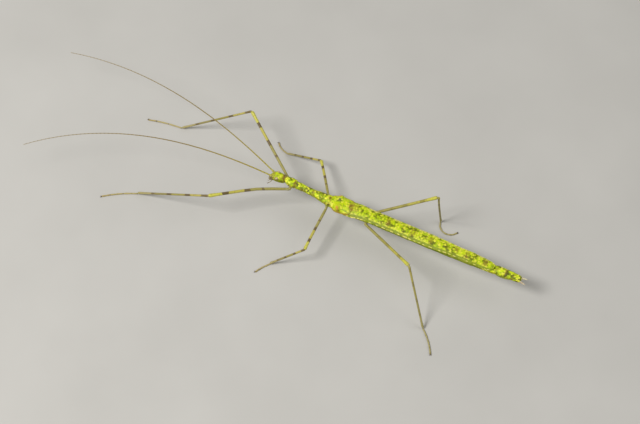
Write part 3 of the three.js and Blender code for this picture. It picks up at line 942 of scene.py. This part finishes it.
parts = []
lip_line = [Vector((FACE + 0.35, 0, spine(FACE) + 0.1)), Vector((FACE - 0.12, 0, spine(FACE) - 0.2)),
            *at_mouth((-10.68, 0, 0.42), (-10.92, 0, 0.1), (-11.0, 0, -0.12))]
length = length_of(lip_line)
rows = [
    (0, 0.3, 0.08), (length * 0.15, 0.46, 0.13), (length * 0.36, 0.62, 0.2), (length * 0.47, 0.58, 0.17),
    (length * 0.54, 0.6, 0.2), (length * 0.8, 0.52, 0.19), (length * 0.93, 0.38, 0.15), (length, 0.2, 0.07),
]
parts.append(follow(tube("lip", 24, round_rings(rows)), lip_line))
for sign in (-1, 1):
    line = at_mouth((-9.75, sign * 0.76, 0.66), (-10.4, sign * 0.68, 0.38), (-10.9, sign * 0.45, 0.06),
                    (-11.05, sign * 0.12, -0.05))
    length = length_of(line)
    rows = [(0, 0.12, 0.16), (0.15, 0.2, 0.3), (length * 0.4, 0.21, 0.34), (length * 0.75, 0.15, 0.22),
            (length, 0.04, 0.06)]
    parts.append(follow(tube("jaw", 16, round_rings(rows)), line))
    bow = Vector((0.1, sign * 0.18, 0.1))
    for first, reach, joints, half in (
        ((-10.1, sign * 0.55, -0.25), Vector((-1.0, sign * 0.75, -0.75)), 5, 0.085),
        ((-10.55, sign * 0.25, -0.3), Vector((-0.65, sign * 0.25, -0.6)), 3, 0.07),
    ):
        start = at_mouth(first)[0]
        line = [start + reach * t + bow * 4 * t * (1 - t) for t in np.linspace(0, 1, 9)]
        length = length_of(line)
        rows = []
        for k in range(joints):
            near, far = length * k / joints, length * (k + 1) / joints
            rows += [(near + 0.02, half * 0.7), (near + 0.35 * (far - near), half), (far - 0.03, half * 1.05)]
        rows.append((length, half * 0.5))
        parts.append(follow(tube("palp", 10, round_rings(rows)), line))
only(mouth, *parts)
bpy.ops.object.join()
turn_with_head(mouth)
print("mouthparts:", len(mouth.data.polygons), "faces")

# %% [markdown]
# ## One skin
# A Boolean union welds trunk, legs, feelers, cerci and keel plate into one surface with no walls inside. It
# is done before any detail is coloured, so that the patterns can run over the joints.

# %% Unite the skin
def unite(body, piece):
    apply(body, "BOOLEAN", operation="UNION", solver="MANIFOLD", material_mode="TRANSFER", object=piece)
    bpy.data.objects.remove(piece)


def loose_parts(mesh):
    """How many separate surfaces a mesh has, and how many of its edges aren't shared by two faces."""
    work = bmesh.new()
    work.from_mesh(mesh)
    left, parts = set(work.verts), 0
    while left:
        queue = [left.pop()]
        parts += 1
        for vertex in queue:
            for edge in vertex.link_edges:
                other = edge.other_vert(vertex)
                if other in left:
                    left.remove(other)
                    queue.append(other)
    open_edges = sum(not edge.is_manifold for edge in work.edges)
    work.free()
    return parts, open_edges


skin = trunk
unite(skin, keel_plate)
for side in SIDES:
    first, *others = limbs[side]
    for piece in others:
        unite(first, piece)
    unite(skin, first)
skin.name = skin.data.name = "skin"
print("skin:", len(skin.data.polygons), "faces, parts and open edges", loose_parts(skin.data))
print("its finishes:", [m.name for m in skin.data.materials])

# %% [markdown]
# The flank of the trunk is darker than its back, with a row of pale dashes under the wing edge. A pattern can
# only follow that if each vertex knows how far round the trunk it lies, so the skin is marked with that too.

# %% Mark the skin
mark(skin, "round", [round_angle(v.co) / 180 for v in skin.data.vertices])
print("marks on the skin:", [a.name for a in skin.data.attributes if a.name in ("along", "round")])

# %% Place everything in the frame
pieces = [skin, *covers, *wings, fan, *eyes, mouth, claws, pads]
for piece in pieces:
    settle(piece)
    only(piece)
    bpy.ops.object.shade_smooth()
    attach(piece, "root")

apart = ("tegmen", "hindwing", "eye", "mouthparts")
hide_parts(*[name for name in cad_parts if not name.startswith(apart)])
for side, cover, wing, ball in zip(SIDES, covers, wings, eyes):
    for piece, node, slot in ((cover, "tegmen", "wing"), (wing, "hindwing", "wing"), (ball, "eye", "eye")):
        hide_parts(f"{node}_{side}")
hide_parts("mouthparts")
print(len(pieces), "pieces placed")

# %% [markdown]
# ## Materials
# Insect cuticle is layered chitin. The soft green and yellow come from pigment grains under a clear outer
# layer, so the colour is blotched in depth, while the surface itself has a low waxy shine that the granules
# break up. All patterns are procedural and their sizes are given in real millimetres. One helper, `add`,
# makes every node: it takes the kind of node, its inputs, the stops of a colour ramp if it has one, and its
# settings, and hands back the socket that the next node reads. `lay` puts one tone over the others, as a
# painter does, and `surface` finishes.

# %% Colour, size and node helpers
MATH, MIX, RAMP = "ShaderNodeMath", "ShaderNodeMix", "ShaderNodeValToRGB"
NOISE, CELLS, BUMP = "ShaderNodeTexNoise", "ShaderNodeTexVoronoi", "ShaderNodeBump"
PLACE, MARK, SPLIT = "ShaderNodeTexCoord", "ShaderNodeAttribute", "ShaderNodeSeparateXYZ"
VECTOR_MATH = "ShaderNodeVectorMath"


def linear(code, alpha=1.0):
    """An sRGB hex colour as linear values."""
    parts = [int(code[i : i + 2], 16) / 255 for i in (1, 3, 5)]
    return (*[c / 12.92 if c <= 0.04045 else ((c + 0.055) / 1.055) ** 2.4 for c in parts], alpha)


def every(mm):
    """Scale of a pattern that repeats about every so many millimetres."""
    return 1 / (mm * MM)


def add(tree, kind, inputs=None, stops=None, out=0, **settings):
    """Adds a node with its settings and links, and returns one of its outputs."""
    made = tree.nodes.new(kind)
    for key, value in settings.items():
        setattr(made, key, value)
    for key, value in (inputs or {}).items():
        if isinstance(value, bpy.types.NodeSocket):
            tree.links.new(value, made.inputs[key])
        else:
            made.inputs[key].default_value = linear(value) if isinstance(value, str) else value
    if stops:
        ramp = made.color_ramp.elements
        while len(ramp) < len(stops):
            ramp.new(1.0)
        for element, (place, tone) in zip(ramp, stops):
            element.position = place
            element.color = linear(tone) if isinstance(tone, str) else (tone, tone, tone, 1)
    return made.outputs[out]


def new_material(name, *pieces, **shader):
    """The nodes of a new material on some pieces. Uniform values are set on its main shader itself."""
    material = finish.get(name) or bpy.data.materials.new(name)
    material.use_nodes = True
    for piece in pieces:
        piece.data.materials.append(material)
    for key, value in shader.items():
        material.node_tree.nodes["Principled BSDF"].inputs[key.replace("_", " ")].default_value = value
    return material.node_tree


def lay(tree, colour, tone, *masks):
    """Lays a tone over a colour where all of its masks are 1."""
    share, *others = masks
    for mask in others:
        share = add(tree, MATH, {0: share, 1: mask}, operation="MULTIPLY")
    return add(tree, MIX, {0: share, 6: colour, 7: tone}, data_type="RGBA", out=2)


def surface(tree, colour, height=None, relief=0):
    """Gives a material's main shader its colour, and a bump that is relief mm deep."""
    main = tree.nodes["Principled BSDF"]
    tree.links.new(colour, main.inputs["Base Color"])
    if height:
        tree.links.new(add(tree, BUMP, {"Height": height, "Distance": relief * MM}), main.inputs["Normal"])


print("every 0.5 mm is scale", every(0.5))

# %% [markdown]
# ### The green
# Trunk and wings carry one continuous pattern, so it is built once and given to each of their materials.
# Clouds of lime lie on olive, bright yellow blotches of half a millimetre to a millimetre sit on them, and
# small brown specks on those. Larger brown patches lie along the middle of the back, a few millimetres apart.
# First comes the place: a pattern that has to know where on the animal it is reads the body's own x and its
# distance from the middle line.

# %% Place on the body
SHADOW, OLIVE, LIME, BRIGHT = "#585A06", "#7C8604", "#A8C404", "#D6E80C"
YELLOW, UMBER, BROWN = "#F4F148", "#5E4A10", "#8A6428"
CLOUD = 1.3  # mm
BLOTCH = 0.7
SPECK = 0.42
WARP = 0.35
ROW_START, ROW = -12, 72  # x where the row of brown patches starts, and its length in mm


def body_place(tree):
    """Object coordinates, and the body's own x and distance from the middle line in millimetres."""
    place = add(tree, PLACE, out="Object")
    parts = add(tree, SPLIT, {0: place}).node.outputs
    along = add(tree, MATH, {0: parts["X"], 1: 1 / MM, 2: -SHIFT.x}, operation="MULTIPLY_ADD")
    aside = add(tree, MATH, {0: parts["Y"], 1: 1 / MM, 2: -SHIFT.y}, operation="MULTIPLY_ADD")
    return place, along, aside


print("clouds", CLOUD, "mm, blotches", BLOTCH, "mm, specks", SPECK, "mm")

# %% Mottled green
def mottled_green(tree, patches, lush=0.0):
    """Colour, height and place of mottled cuticle, with brown patches of (x, half length, strength)."""
    place, along, aside = body_place(tree)
    cloud = add(tree, NOISE, {"Vector": place, "Scale": every(CLOUD), "Detail": 3.0, "Roughness": 0.6})
    cloud = add(tree, MATH, {0: cloud, 1: lush}, operation="ADD")
    colour = add(tree, RAMP, {0: cloud}, [(0.34, SHADOW), (0.43, OLIVE), (0.49, LIME), (0.58, BRIGHT)])

    # Round cells look like a print, so the place that they read is first pushed about by a noise.
    warp = add(tree, NOISE, {"Vector": place, "Scale": every(0.45), "Detail": 1.0}, out="Color")
    bent = add(tree, VECTOR_MATH, {0: warp, 1: (WARP * MM,) * 3, 2: place}, operation="MULTIPLY_ADD")
    cells = add(tree, CELLS, {"Vector": bent, "Scale": every(BLOTCH)}).node.outputs
    spot = add(tree, RAMP, {0: cells["Distance"]}, [(0.32, 1.0), (0.52, 0.0)])
    some = add(tree, RAMP, {0: cells["Color"]}, [(0.28, 0.0), (0.4, 1.0)])
    blotches = add(tree, MATH, {0: spot, 1: some}, operation="MULTIPLY")
    colour = lay(tree, colour, YELLOW, blotches)

    dots = add(tree, CELLS, {"Vector": bent, "Scale": every(SPECK)}).node.outputs
    dot = add(tree, RAMP, {0: dots["Distance"]}, [(0.25, 0.65), (0.42, 0.0)])
    few = add(tree, RAMP, {0: dots["Color"]}, [(0.52, 0.0), (0.58, 1.0)])
    colour = lay(tree, colour, UMBER, dot, few)

    stops = [(0.0, 0.0)]
    for x, half, strength in patches:
        edges = [(x + share * half - ROW_START) / ROW for share in (-1, -0.4, 0.4, 1)]
        stops += zip(edges, (0.0, strength, strength, 0.0))
    down = add(tree, MATH, {0: along, 1: 1 / ROW, 2: -ROW_START / ROW}, operation="MULTIPLY_ADD")
    here = add(tree, RAMP, {0: down}, stops)
    off = add(tree, MATH, {0: aside}, operation="ABSOLUTE")
    middle = add(tree, RAMP, {0: off}, [(0.6, 1.0), (1.15, 0.25)])
    crumb = add(tree, NOISE, {"Vector": place, "Scale": every(0.6), "Detail": 2.0})
    crumb = add(tree, RAMP, {0: crumb}, [(0.38, 0.1), (0.52, 1.0)])
    colour = lay(tree, colour, BROWN, here, middle, crumb)

    grain = add(tree, CELLS, {"Vector": place, "Scale": every(GRANULE * 0.6)})
    grain = add(tree, MATH, {0: 1.0, 1: grain}, operation="SUBTRACT")
    height = add(tree, MATH, {0: blotches, 1: 0.6, 2: grain}, operation="MULTIPLY_ADD")
    return colour, height, place


print("colours of the green:", SHADOW, OLIVE, LIME, BRIGHT, YELLOW)

# %% [markdown]
# ### Trunk cuticle
# The real surface is hardened chitin, granular where the animal is rubbed most, with a thin layer of wax that
# gives it a low shine: roughness near 0.5, and less specular than plastic. Its own marks run round the trunk:
# a broken brown line on the rim of the chest, an olive flank, a row of pale dashes under it, and a paler
# belly. They read the `round` mark, which is 0 on the top line and 1 on the bottom line. The head is darkened
# towards olive by painted shade in broken mottles, and its face is brown.

# %% Trunk cuticle: granular chitin, low waxy shine
PALE_DASH, BELLY, FLANK, FACE_BROWN = "#E4E08C", "#A2AC3C", "#74800F", "#7E6C34"
TRUNK_BROWN = [(-7.0, 0.6, 1.0), (-3.9, 0.5, 0.8), (1.1, 0.5, 0.8), (5.6, 0.7, 0.7), (50.6, 0.5, 0.6),
               (52.8, 0.4, 0.5), (55.0, 0.4, 0.5)]
tree = new_material("granular green cuticle", Roughness=0.48, IOR=1.5, Specular_IOR_Level=0.3)
colour, height, place = mottled_green(tree, TRUNK_BROWN, lush=-0.025)
turned = add(tree, MARK, out="Fac", attribute_name="round")
mottle_noise = add(tree, NOISE, {"Vector": place, "Scale": every(0.8), "Detail": 2.0})

rim = add(tree, RAMP, {0: turned}, [(0.3, 0.0), (0.37, 0.8), (0.42, 0.8), (0.47, 0.0)])
broken = add(tree, RAMP, {0: mottle_noise}, [(0.42, 0.0), (0.55, 1.0)])
colour = lay(tree, colour, BROWN, rim, broken)

flank = add(tree, RAMP, {0: turned}, [(0.46, 0.0), (0.5, 0.8), (0.57, 0.8), (0.6, 0.15), (0.7, 0.0)])
colour = lay(tree, colour, FLANK, flank)

_, along, _ = body_place(tree)
forward = add(tree, MATH, {0: along, 1: 0.25, 2: 2.75}, operation="MULTIPLY_ADD")  # 0 at x = -11, 1 at x = -7
broken = add(tree, RAMP, {0: mottle_noise}, [(0.4, 0.25), (0.55, 1.0)])
# Painted shade: the head is darkened towards olive in broken mottles. The face's brown is its own colour.
for tone, spread in ((OLIVE, [(0.9, 0.6), (1.0, 0.0)]), (FACE_BROWN, [(0.32, 0.75), (0.42, 0.0)])):
    colour = lay(tree, colour, tone, add(tree, RAMP, {0: forward}, spread), broken)

dash = add(tree, CELLS, {"Vector": place, "Scale": every(0.9)})
dash = add(tree, RAMP, {0: dash}, [(0.42, 1.0), (0.52, 0.0)])
margin = add(tree, RAMP, {0: turned}, [(0.55, 0.0), (0.58, 1.0), (0.67, 1.0), (0.7, 0.0)])
colour = lay(tree, colour, PALE_DASH, dash, margin)

belly = add(tree, RAMP, {0: turned}, [(0.68, 0.0), (0.8, 0.55)])
surface(tree, lay(tree, colour, BELLY, belly), height, 0.05)
print(len(tree.nodes), "nodes in the trunk's cuticle")

# %% [markdown]
# ### The wings' own marks
# A wing plate is marked by its UV map, where u runs from root to tip and v from the middle line to the edge.
# The hindwing strip is a leathery membrane between raised veins, a little smoother than the trunk. It has a
# row of yellow dashes, then a dark striped band along its outer part, and pale dashes on its rim. The right
# strip is folded deeper, so only its rim dashes show. The veins are a little more olive than the membrane
# between them.

# %% Hindwing strip: leathery membrane between raised veins
WING_BROWN = [(12.6, 0.8, 0.8), (21.5, 0.9, 0.75), (28.2, 0.8, 0.75), (33.0, 0.8, 0.75), (39.7, 0.7, 0.7),
              (42.6, 0.7, 0.75), (47.4, 0.8, 0.75)]
STRIPES = 150.0  # radians of the sine across a strip, which makes about 24 stripes
tree = new_material("veined wing strip", *wings, Roughness=0.45, IOR=1.5, Specular_IOR_Level=0.3)
colour, height, place = mottled_green(tree, WING_BROWN, lush=0.02)
uv = add(tree, SPLIT, {0: add(tree, PLACE, out="UV")}).node.outputs
_, _, aside = body_place(tree)
right = add(tree, MATH, {0: aside, 1: 0.0}, operation="GREATER_THAN")

wobble = add(tree, NOISE, {"Vector": place, "Scale": every(1.5), "Detail": 2.0})
wobble = add(tree, MATH, {0: wobble, 1: 0.12, 2: -0.06}, operation="MULTIPLY_ADD")
across = add(tree, MATH, {0: uv["Y"], 1: wobble}, operation="ADD")
stripes = add(tree, MATH, {0: uv["Y"], 1: STRIPES}, operation="MULTIPLY")
stripes = add(tree, MATH, {0: stripes}, operation="SINE")
stripes = add(tree, RAMP, {0: stripes}, [(0.0, "#6C7A08"), (0.6, "#9DAC14")])
striped = add(tree, RAMP, {0: across}, [(0.66, 0.0), (0.74, 0.85), (0.96, 0.85), (0.99, 0.3)])
striped = add(tree, MATH, {0: striped, 1: right}, operation="SUBTRACT", use_clamp=True)
colour = lay(tree, colour, stripes, striped)

bead = add(tree, CELLS, {"Vector": place, "Scale": every(0.95)})
bead = add(tree, RAMP, {0: bead}, [(0.4, 1.0), (0.52, 0.0)])
row = add(tree, RAMP, {0: across}, [(0.55, 0.0), (0.59, 0.9), (0.66, 0.9), (0.69, 0.0)])
colour = lay(tree, colour, "#F4EE5C", bead, row)
outer = add(tree, MATH, {0: right, 1: 0.16, 2: uv["Y"]}, operation="MULTIPLY_ADD")
rim = add(tree, RAMP, {0: outer}, [(0.89, 0.0), (0.91, 1.0)])
colour = lay(tree, colour, "#F2E67A", bead, rim)

cell = add(tree, MARK, out="Fac", attribute_name="cell")
vein = add(tree, MATH, {0: cell, 1: -0.3, 2: 0.3}, operation="MULTIPLY_ADD")
surface(tree, lay(tree, colour, OLIVE, vein), height, 0.03)
print(len(tree.nodes), "nodes in the wing strip")

# %% [markdown]
# The cover is thicker and harder, so a little glossier. It is the greenest plate of all, with a brown patch
# at its rear, an orange-brown rim, and a peach spot on its hump that looks like a scar on bark.

# %% Wing cover: thick leathery chitin
PEACH_SPOT = (7.95, 1.75)  # x, and mm from the middle line
tree = new_material("leathery wing cover", *covers, Roughness=0.42, IOR=1.5, Specular_IOR_Level=0.3)
colour, height, place = mottled_green(tree, [(11.4, 1.0, 1.0)], lush=0.05)
uv = add(tree, SPLIT, {0: add(tree, PLACE, out="UV")}).node.outputs
_, along, aside = body_place(tree)
# The left peach spot lies a little farther back than the right one.
off_x = add(tree, MATH, {0: aside, 1: 0.2, 2: along}, operation="MULTIPLY_ADD")
off_x = add(tree, MATH, {0: off_x, 1: PEACH_SPOT[0]}, operation="SUBTRACT")
off_y = add(tree, MATH, {0: aside}, operation="ABSOLUTE")
off_y = add(tree, MATH, {0: off_y, 1: PEACH_SPOT[1]}, operation="SUBTRACT")
away = add(tree, "ShaderNodeCombineXYZ", {0: off_x, 1: off_y})
away = add(tree, VECTOR_MATH, {0: away}, out="Value", operation="LENGTH")
spot = add(tree, RAMP, {0: away}, [(0.2, 0.9), (0.6, 0.0)])
colour = lay(tree, colour, "#E8A24C", spot)

side_rim = add(tree, RAMP, {0: uv["Y"]}, [(0.84, 0.0), (0.94, 1.0)])
end_rim = add(tree, RAMP, {0: uv["X"]}, [(0.0, 0.5), (0.07, 0.0), (0.88, 0.0), (0.96, 1.0)])
rim = add(tree, MATH, {0: side_rim, 1: end_rim}, operation="MAXIMUM")
mottle_noise = add(tree, NOISE, {"Vector": place, "Scale": every(0.7), "Detail": 2.0})
mottle_noise = add(tree, RAMP, {0: mottle_noise}, [(0.36, 0.2), (0.5, 0.9)])
colour = lay(tree, colour, "#A8742A", rim, mottle_noise)
cell = add(tree, MARK, out="Fac", attribute_name="cell")
vein = add(tree, MATH, {0: cell, 1: -0.25, 2: 0.25}, operation="MULTIPLY_ADD")
surface(tree, lay(tree, colour, OLIVE, vein), height, 0.03)
print(len(tree.nodes), "nodes in the wing cover")

# %% [markdown]
# The folded fan is a thin dry membrane. It is smoother and shinier than the strip above it, and its colour is
# the strip's olive seen through many layers.

# %% Folded fan: thin membrane in many pleats
tree = new_material("pleated wing membrane", fan, Roughness=0.35, IOR=1.5)
place = add(tree, PLACE, out="Object")
cloud = add(tree, NOISE, {"Vector": place, "Scale": every(1.0), "Detail": 3.0})
tone = add(tree, RAMP, {0: cloud}, [(0.35, "#74820E"), (0.5, "#92A01C"), (0.65, "#AEB23C")])
surface(tree, tone, cloud, 0.02)
print("fan finished")

# %% [markdown]
# ### The legs
# Legs are smooth hard chitin in rings of tan, olive and yellow with dark brown bands, brightest just before
# the knee. A Constant ramp gives bands with firm edges, and a noise shifts them, so that no edge is a perfect
# ring. The mark `along` counts -1 to 0 on the coxa, 0 to 1 on the femur, 1 to 2 on the tibia and 2 to 3 on
# the tarsus. The hind legs carry the same bands, but much fainter, over a plain olive.

# %% Legs: smooth hard chitin in rings
LEG_BANDS = [  # share along the segment where a colour starts: coxa, femur, tibia, tarsus
    [(0.0, "#98A048"), (0.55, "#A8A05A")],
    [
        (0.0, "#A8A162"), (0.05, "#A0964E"), (0.31, "#75633A"), (0.335, "#A0964E"), (0.48, "#6E5C34"),
        (0.55, "#BDB24A"), (0.74, "#66542C"), (0.82, "#CCC650"),
    ],
    [
        (0.0, "#7A683E"), (0.085, "#BCAE56"), (0.25, "#6A5832"), (0.32, "#A2964A"), (0.51, "#6A5832"),
        (0.565, "#988C52"), (0.735, "#7A683E"), (0.785, "#ADA06A"),
    ],
    [(0.0, "#B5A468"), (0.4, "#7A6638"), (0.43, "#B5A468"), (0.74, "#7A6638"), (0.77, "#B09C60")],
]
HIND_TONES = [(0.2, "#A8A05A"), (0.3, "#A39A50"), (0.46, "#B5AC44"), (0.485, "#CFCB3A"), (0.52, "#A89C50"),
              (0.75, "#A39A5C")]
SEGMENTS = len(LEG_BANDS)
RAGGED = 0.05  # of a segment, by which the noise shifts the edge of a band
tree = new_material("banded leg cuticle", Roughness=0.45, IOR=1.5)
place = add(tree, PLACE, out="Object")
along = add(tree, MARK, out="Fac", attribute_name="along")
hind = add(tree, MATH, {0: along, 1: FAINT / 2}, operation="GREATER_THAN")
along = add(tree, MATH, {0: hind, 1: -FAINT, 2: along}, operation="MULTIPLY_ADD")
ragged = add(tree, NOISE, {"Vector": place, "Scale": every(0.5), "Detail": 3.0})
along = add(tree, MATH, {0: ragged, 1: RAGGED, 2: along}, operation="MULTIPLY_ADD")
shift = (1 - RAGGED / 2) / SEGMENTS
share = add(tree, MATH, {0: along, 1: 1 / SEGMENTS, 2: shift}, operation="MULTIPLY_ADD")
bands = [((i + start) / SEGMENTS, code) for i, rows in enumerate(LEG_BANDS) for start, code in rows]
banded = add(tree, RAMP, {0: share}, bands)
banded.node.color_ramp.interpolation = "CONSTANT"
plain = add(tree, RAMP, {0: share}, HIND_TONES)
fade = add(tree, MATH, {0: hind, 1: 0.6}, operation="MULTIPLY")
colour = lay(tree, banded, plain, fade)
freckle = add(tree, NOISE, {"Vector": place, "Scale": every(0.35), "Detail": 2.0})
dark = add(tree, RAMP, {0: freckle}, [(0.55, 0.0), (0.68, 0.6)])
surface(tree, lay(tree, colour, "#6E6428", dark), freckle, 0.03)
print(len(bands), "bands on a leg")

# %% [markdown]
# ### The feelers
# A feeler is dull thin cuticle, olive near the head and greyer towards its tip, with a dark ring at each
# joint. Its mark `along` is in millimetres, so the rings fall on the joints that were modelled.

# %% Feelers: dull thin cuticle with a dark ring at each joint
FADED = 65.0  # mm along a feeler, where it is greyest
tree = new_material("ringed feeler cuticle", Roughness=0.5, IOR=1.5)
along = add(tree, MARK, out="Fac", attribute_name="along")
share = add(tree, MATH, {0: along, 1: FADED}, operation="DIVIDE")
tone = add(tree, RAMP, {0: share}, [(0.0, "#B9B04A"), (0.06, "#A8962E"), (0.4, "#8E7A40"), (1.0, "#A89878")])
ring = add(tree, MATH, {0: along, 1: 1 / JOINT, 2: -WHIP_START / JOINT}, operation="MULTIPLY_ADD")
ring = add(tree, MATH, {0: ring}, operation="FRACT")
ring = add(tree, RAMP, {0: ring}, [(0.0, 0.8), (0.1, 0.5), (0.2, 0.0), (0.9, 0.0), (1, 0.8)])
place = add(tree, PLACE, out="Object")
cloud = add(tree, NOISE, {"Vector": place, "Scale": every(0.2), "Detail": 2.0})
surface(tree, lay(tree, tone, "#4E3C1C", ring), cloud, 0.01)
print("a ring every", JOINT, "mm")

# %% [markdown]
# ### Soft cuticle
# Cerci, foot pads and mouthparts are thin cuticle with little pigment. The cerci and pads are almost white,
# while the mouthparts, which chew leaves, are thicker, horny and browner, so the pattern has one tone for
# each end of the animal.

# %% Mouthparts, pads and cerci: thin pale cuticle
tree = new_material("pale soft cuticle", mouth, pads, Roughness=0.5, IOR=1.5)
place, along, _ = body_place(tree)
cloud = add(tree, NOISE, {"Vector": place, "Scale": every(0.6), "Detail": 3.0})
pale = add(tree, RAMP, {0: cloud}, [(0.35, "#B79A7C"), (0.5, "#D6C9A8"), (0.65, "#E4DFC0")])
horny = add(tree, RAMP, {0: cloud}, [(0.35, "#6E5A40"), (0.5, "#93845A"), (0.65, "#ABA070")])
front = add(tree, MATH, {0: along, 1: 0.0}, operation="LESS_THAN")
surface(tree, lay(tree, pale, horny, front), cloud, 0.03)
print("soft parts finished")

# %% [markdown]
# ### The eyes
# An insect's eye is a dome of clear lenses over dark pigment. Each lens is about 0.02 mm wide; they are drawn
# at 0.05 mm, as coarse as they need to be to show. Clouded tan and brown lie under them, and the surface is
# glossier than anything round it.

# %% Eyes: clear lenses over clouded pigment
LENS = 0.05  # mm
tree = new_material("faceted eye", *eyes, Roughness=0.33, IOR=1.5)
place = add(tree, PLACE, out="Object")
cloud = add(tree, NOISE, {"Vector": place, "Scale": every(0.5), "Detail": 2.0})
tone = add(tree, RAMP, {0: cloud}, [(0.35, "#7A6238"), (0.5, "#A8905C"), (0.65, "#CDBE8C")])
lens = add(tree, CELLS, {"Vector": place, "Scale": every(LENS)})
lens = add(tree, MATH, {0: 1.0, 1: lens}, operation="SUBTRACT")
surface(tree, tone, lens, 0.004)
print(len(eyes), "eyes finished")

# %% [markdown]
# ### The claws
# Claws are the hardest and darkest chitin of the animal, smooth and glossy, and a little lighter where they
# wear.

# %% Claws: hard dark chitin, smooth and glossy
tree = new_material("dark claw horn", claws, Roughness=0.28, IOR=1.55)
place = add(tree, PLACE, out="Object")
cloud = add(tree, NOISE, {"Vector": place, "Scale": every(0.3), "Detail": 2.0})
tone = add(tree, RAMP, {0: cloud}, [(0.4, "#2E1C0E"), (0.6, "#5A3A1E")])
surface(tree, tone)
print("claws finished")

# %% [markdown]
# ## Camera
# The animal is seen from above and from its left rear, at 61 degrees, from nearly half a metre away. A long
# lens keeps the proportions true: the sensor is 36 mm wide, and half of it spans 10 degrees.

# %% Camera
AZIMUTH, ELEVATION, DISTANCE = math.radians(25.6), math.radians(61), 458.6
SENSOR, HALF_VIEW = 36, math.radians(10)
LOOK_AT = Vector((2.79, 0.1, 0))
target = (LOOK_AT + SHIFT) * MM
back = Vector((
    math.sin(AZIMUTH) * math.cos(ELEVATION),
    -math.cos(AZIMUTH) * math.cos(ELEVATION),
    math.sin(ELEVATION),
))
camera_data = bpy.data.cameras.new("camera")
camera_data.sensor_width = SENSOR
camera_data.lens = SENSOR / 2 / math.tan(HALF_VIEW)
camera_data.clip_start = 0.01
camera = bpy.data.objects.new("camera", camera_data)
bpy.context.scene.collection.objects.link(camera)
camera.location = target + back * DISTANCE * MM
camera.rotation_euler = (-back).to_track_quat("-Z", "Y").to_euler()
bpy.context.scene.camera = camera
print(f"lens {camera_data.lens:.0f} mm, {DISTANCE} mm from the animal")

# %% [markdown]
# ## Floor and light
# The animal stands on matt pale card, under one soft round lamp at its head end and a weaker, larger one
# opposite, which opens the shadows of the legs. A faint even light stands for the walls of a studio.

# %% Floor
bpy.ops.object.select_all(action="DESELECT")
bpy.ops.mesh.primitive_plane_add(size=2)
floor = bpy.context.object
floor.name = "floor"
tree = new_material("matt pale floor", floor, Roughness=0.85)
place = add(tree, PLACE, out="Object")
cloud = add(tree, NOISE, {"Vector": place, "Scale": every(30), "Detail": 3.0})
tone = add(tree, RAMP, {0: cloud}, [(0.3, "#BDBAB4"), (0.7, "#C3C0BA")])
surface(tree, tone)
print("floor", floor.dimensions.x, "m wide")

# %% Light
def light(name, place, size, power):
    """A round soft lamp, size metres across, turned to the animal."""
    data = bpy.data.lights.new(name, "AREA")
    data.shape = "DISK"
    data.size = size
    data.energy = power
    lamp = bpy.data.objects.new(name, data)
    bpy.context.scene.collection.objects.link(lamp)
    lamp.location = place
    lamp.rotation_euler = (target - Vector(place)).to_track_quat("-Z", "Y").to_euler()
    return lamp


key = light("key", (-0.2, -0.22, 0.45), 0.2, 2.2)
fill = light("fill", (0.4, 0.2, 0.4), 0.4, 0.75)
world = bpy.data.worlds.new("world")
bpy.context.scene.world = world
world.use_nodes = True
world.node_tree.nodes["Background"].inputs[0].default_value = (0.86, 0.87, 0.85, 1)
world.node_tree.nodes["Background"].inputs[1].default_value = 0.35
bpy.context.scene.view_settings.view_transform = "Standard"
print("lamps of", key.data.energy, "and", fill.data.energy, "W")
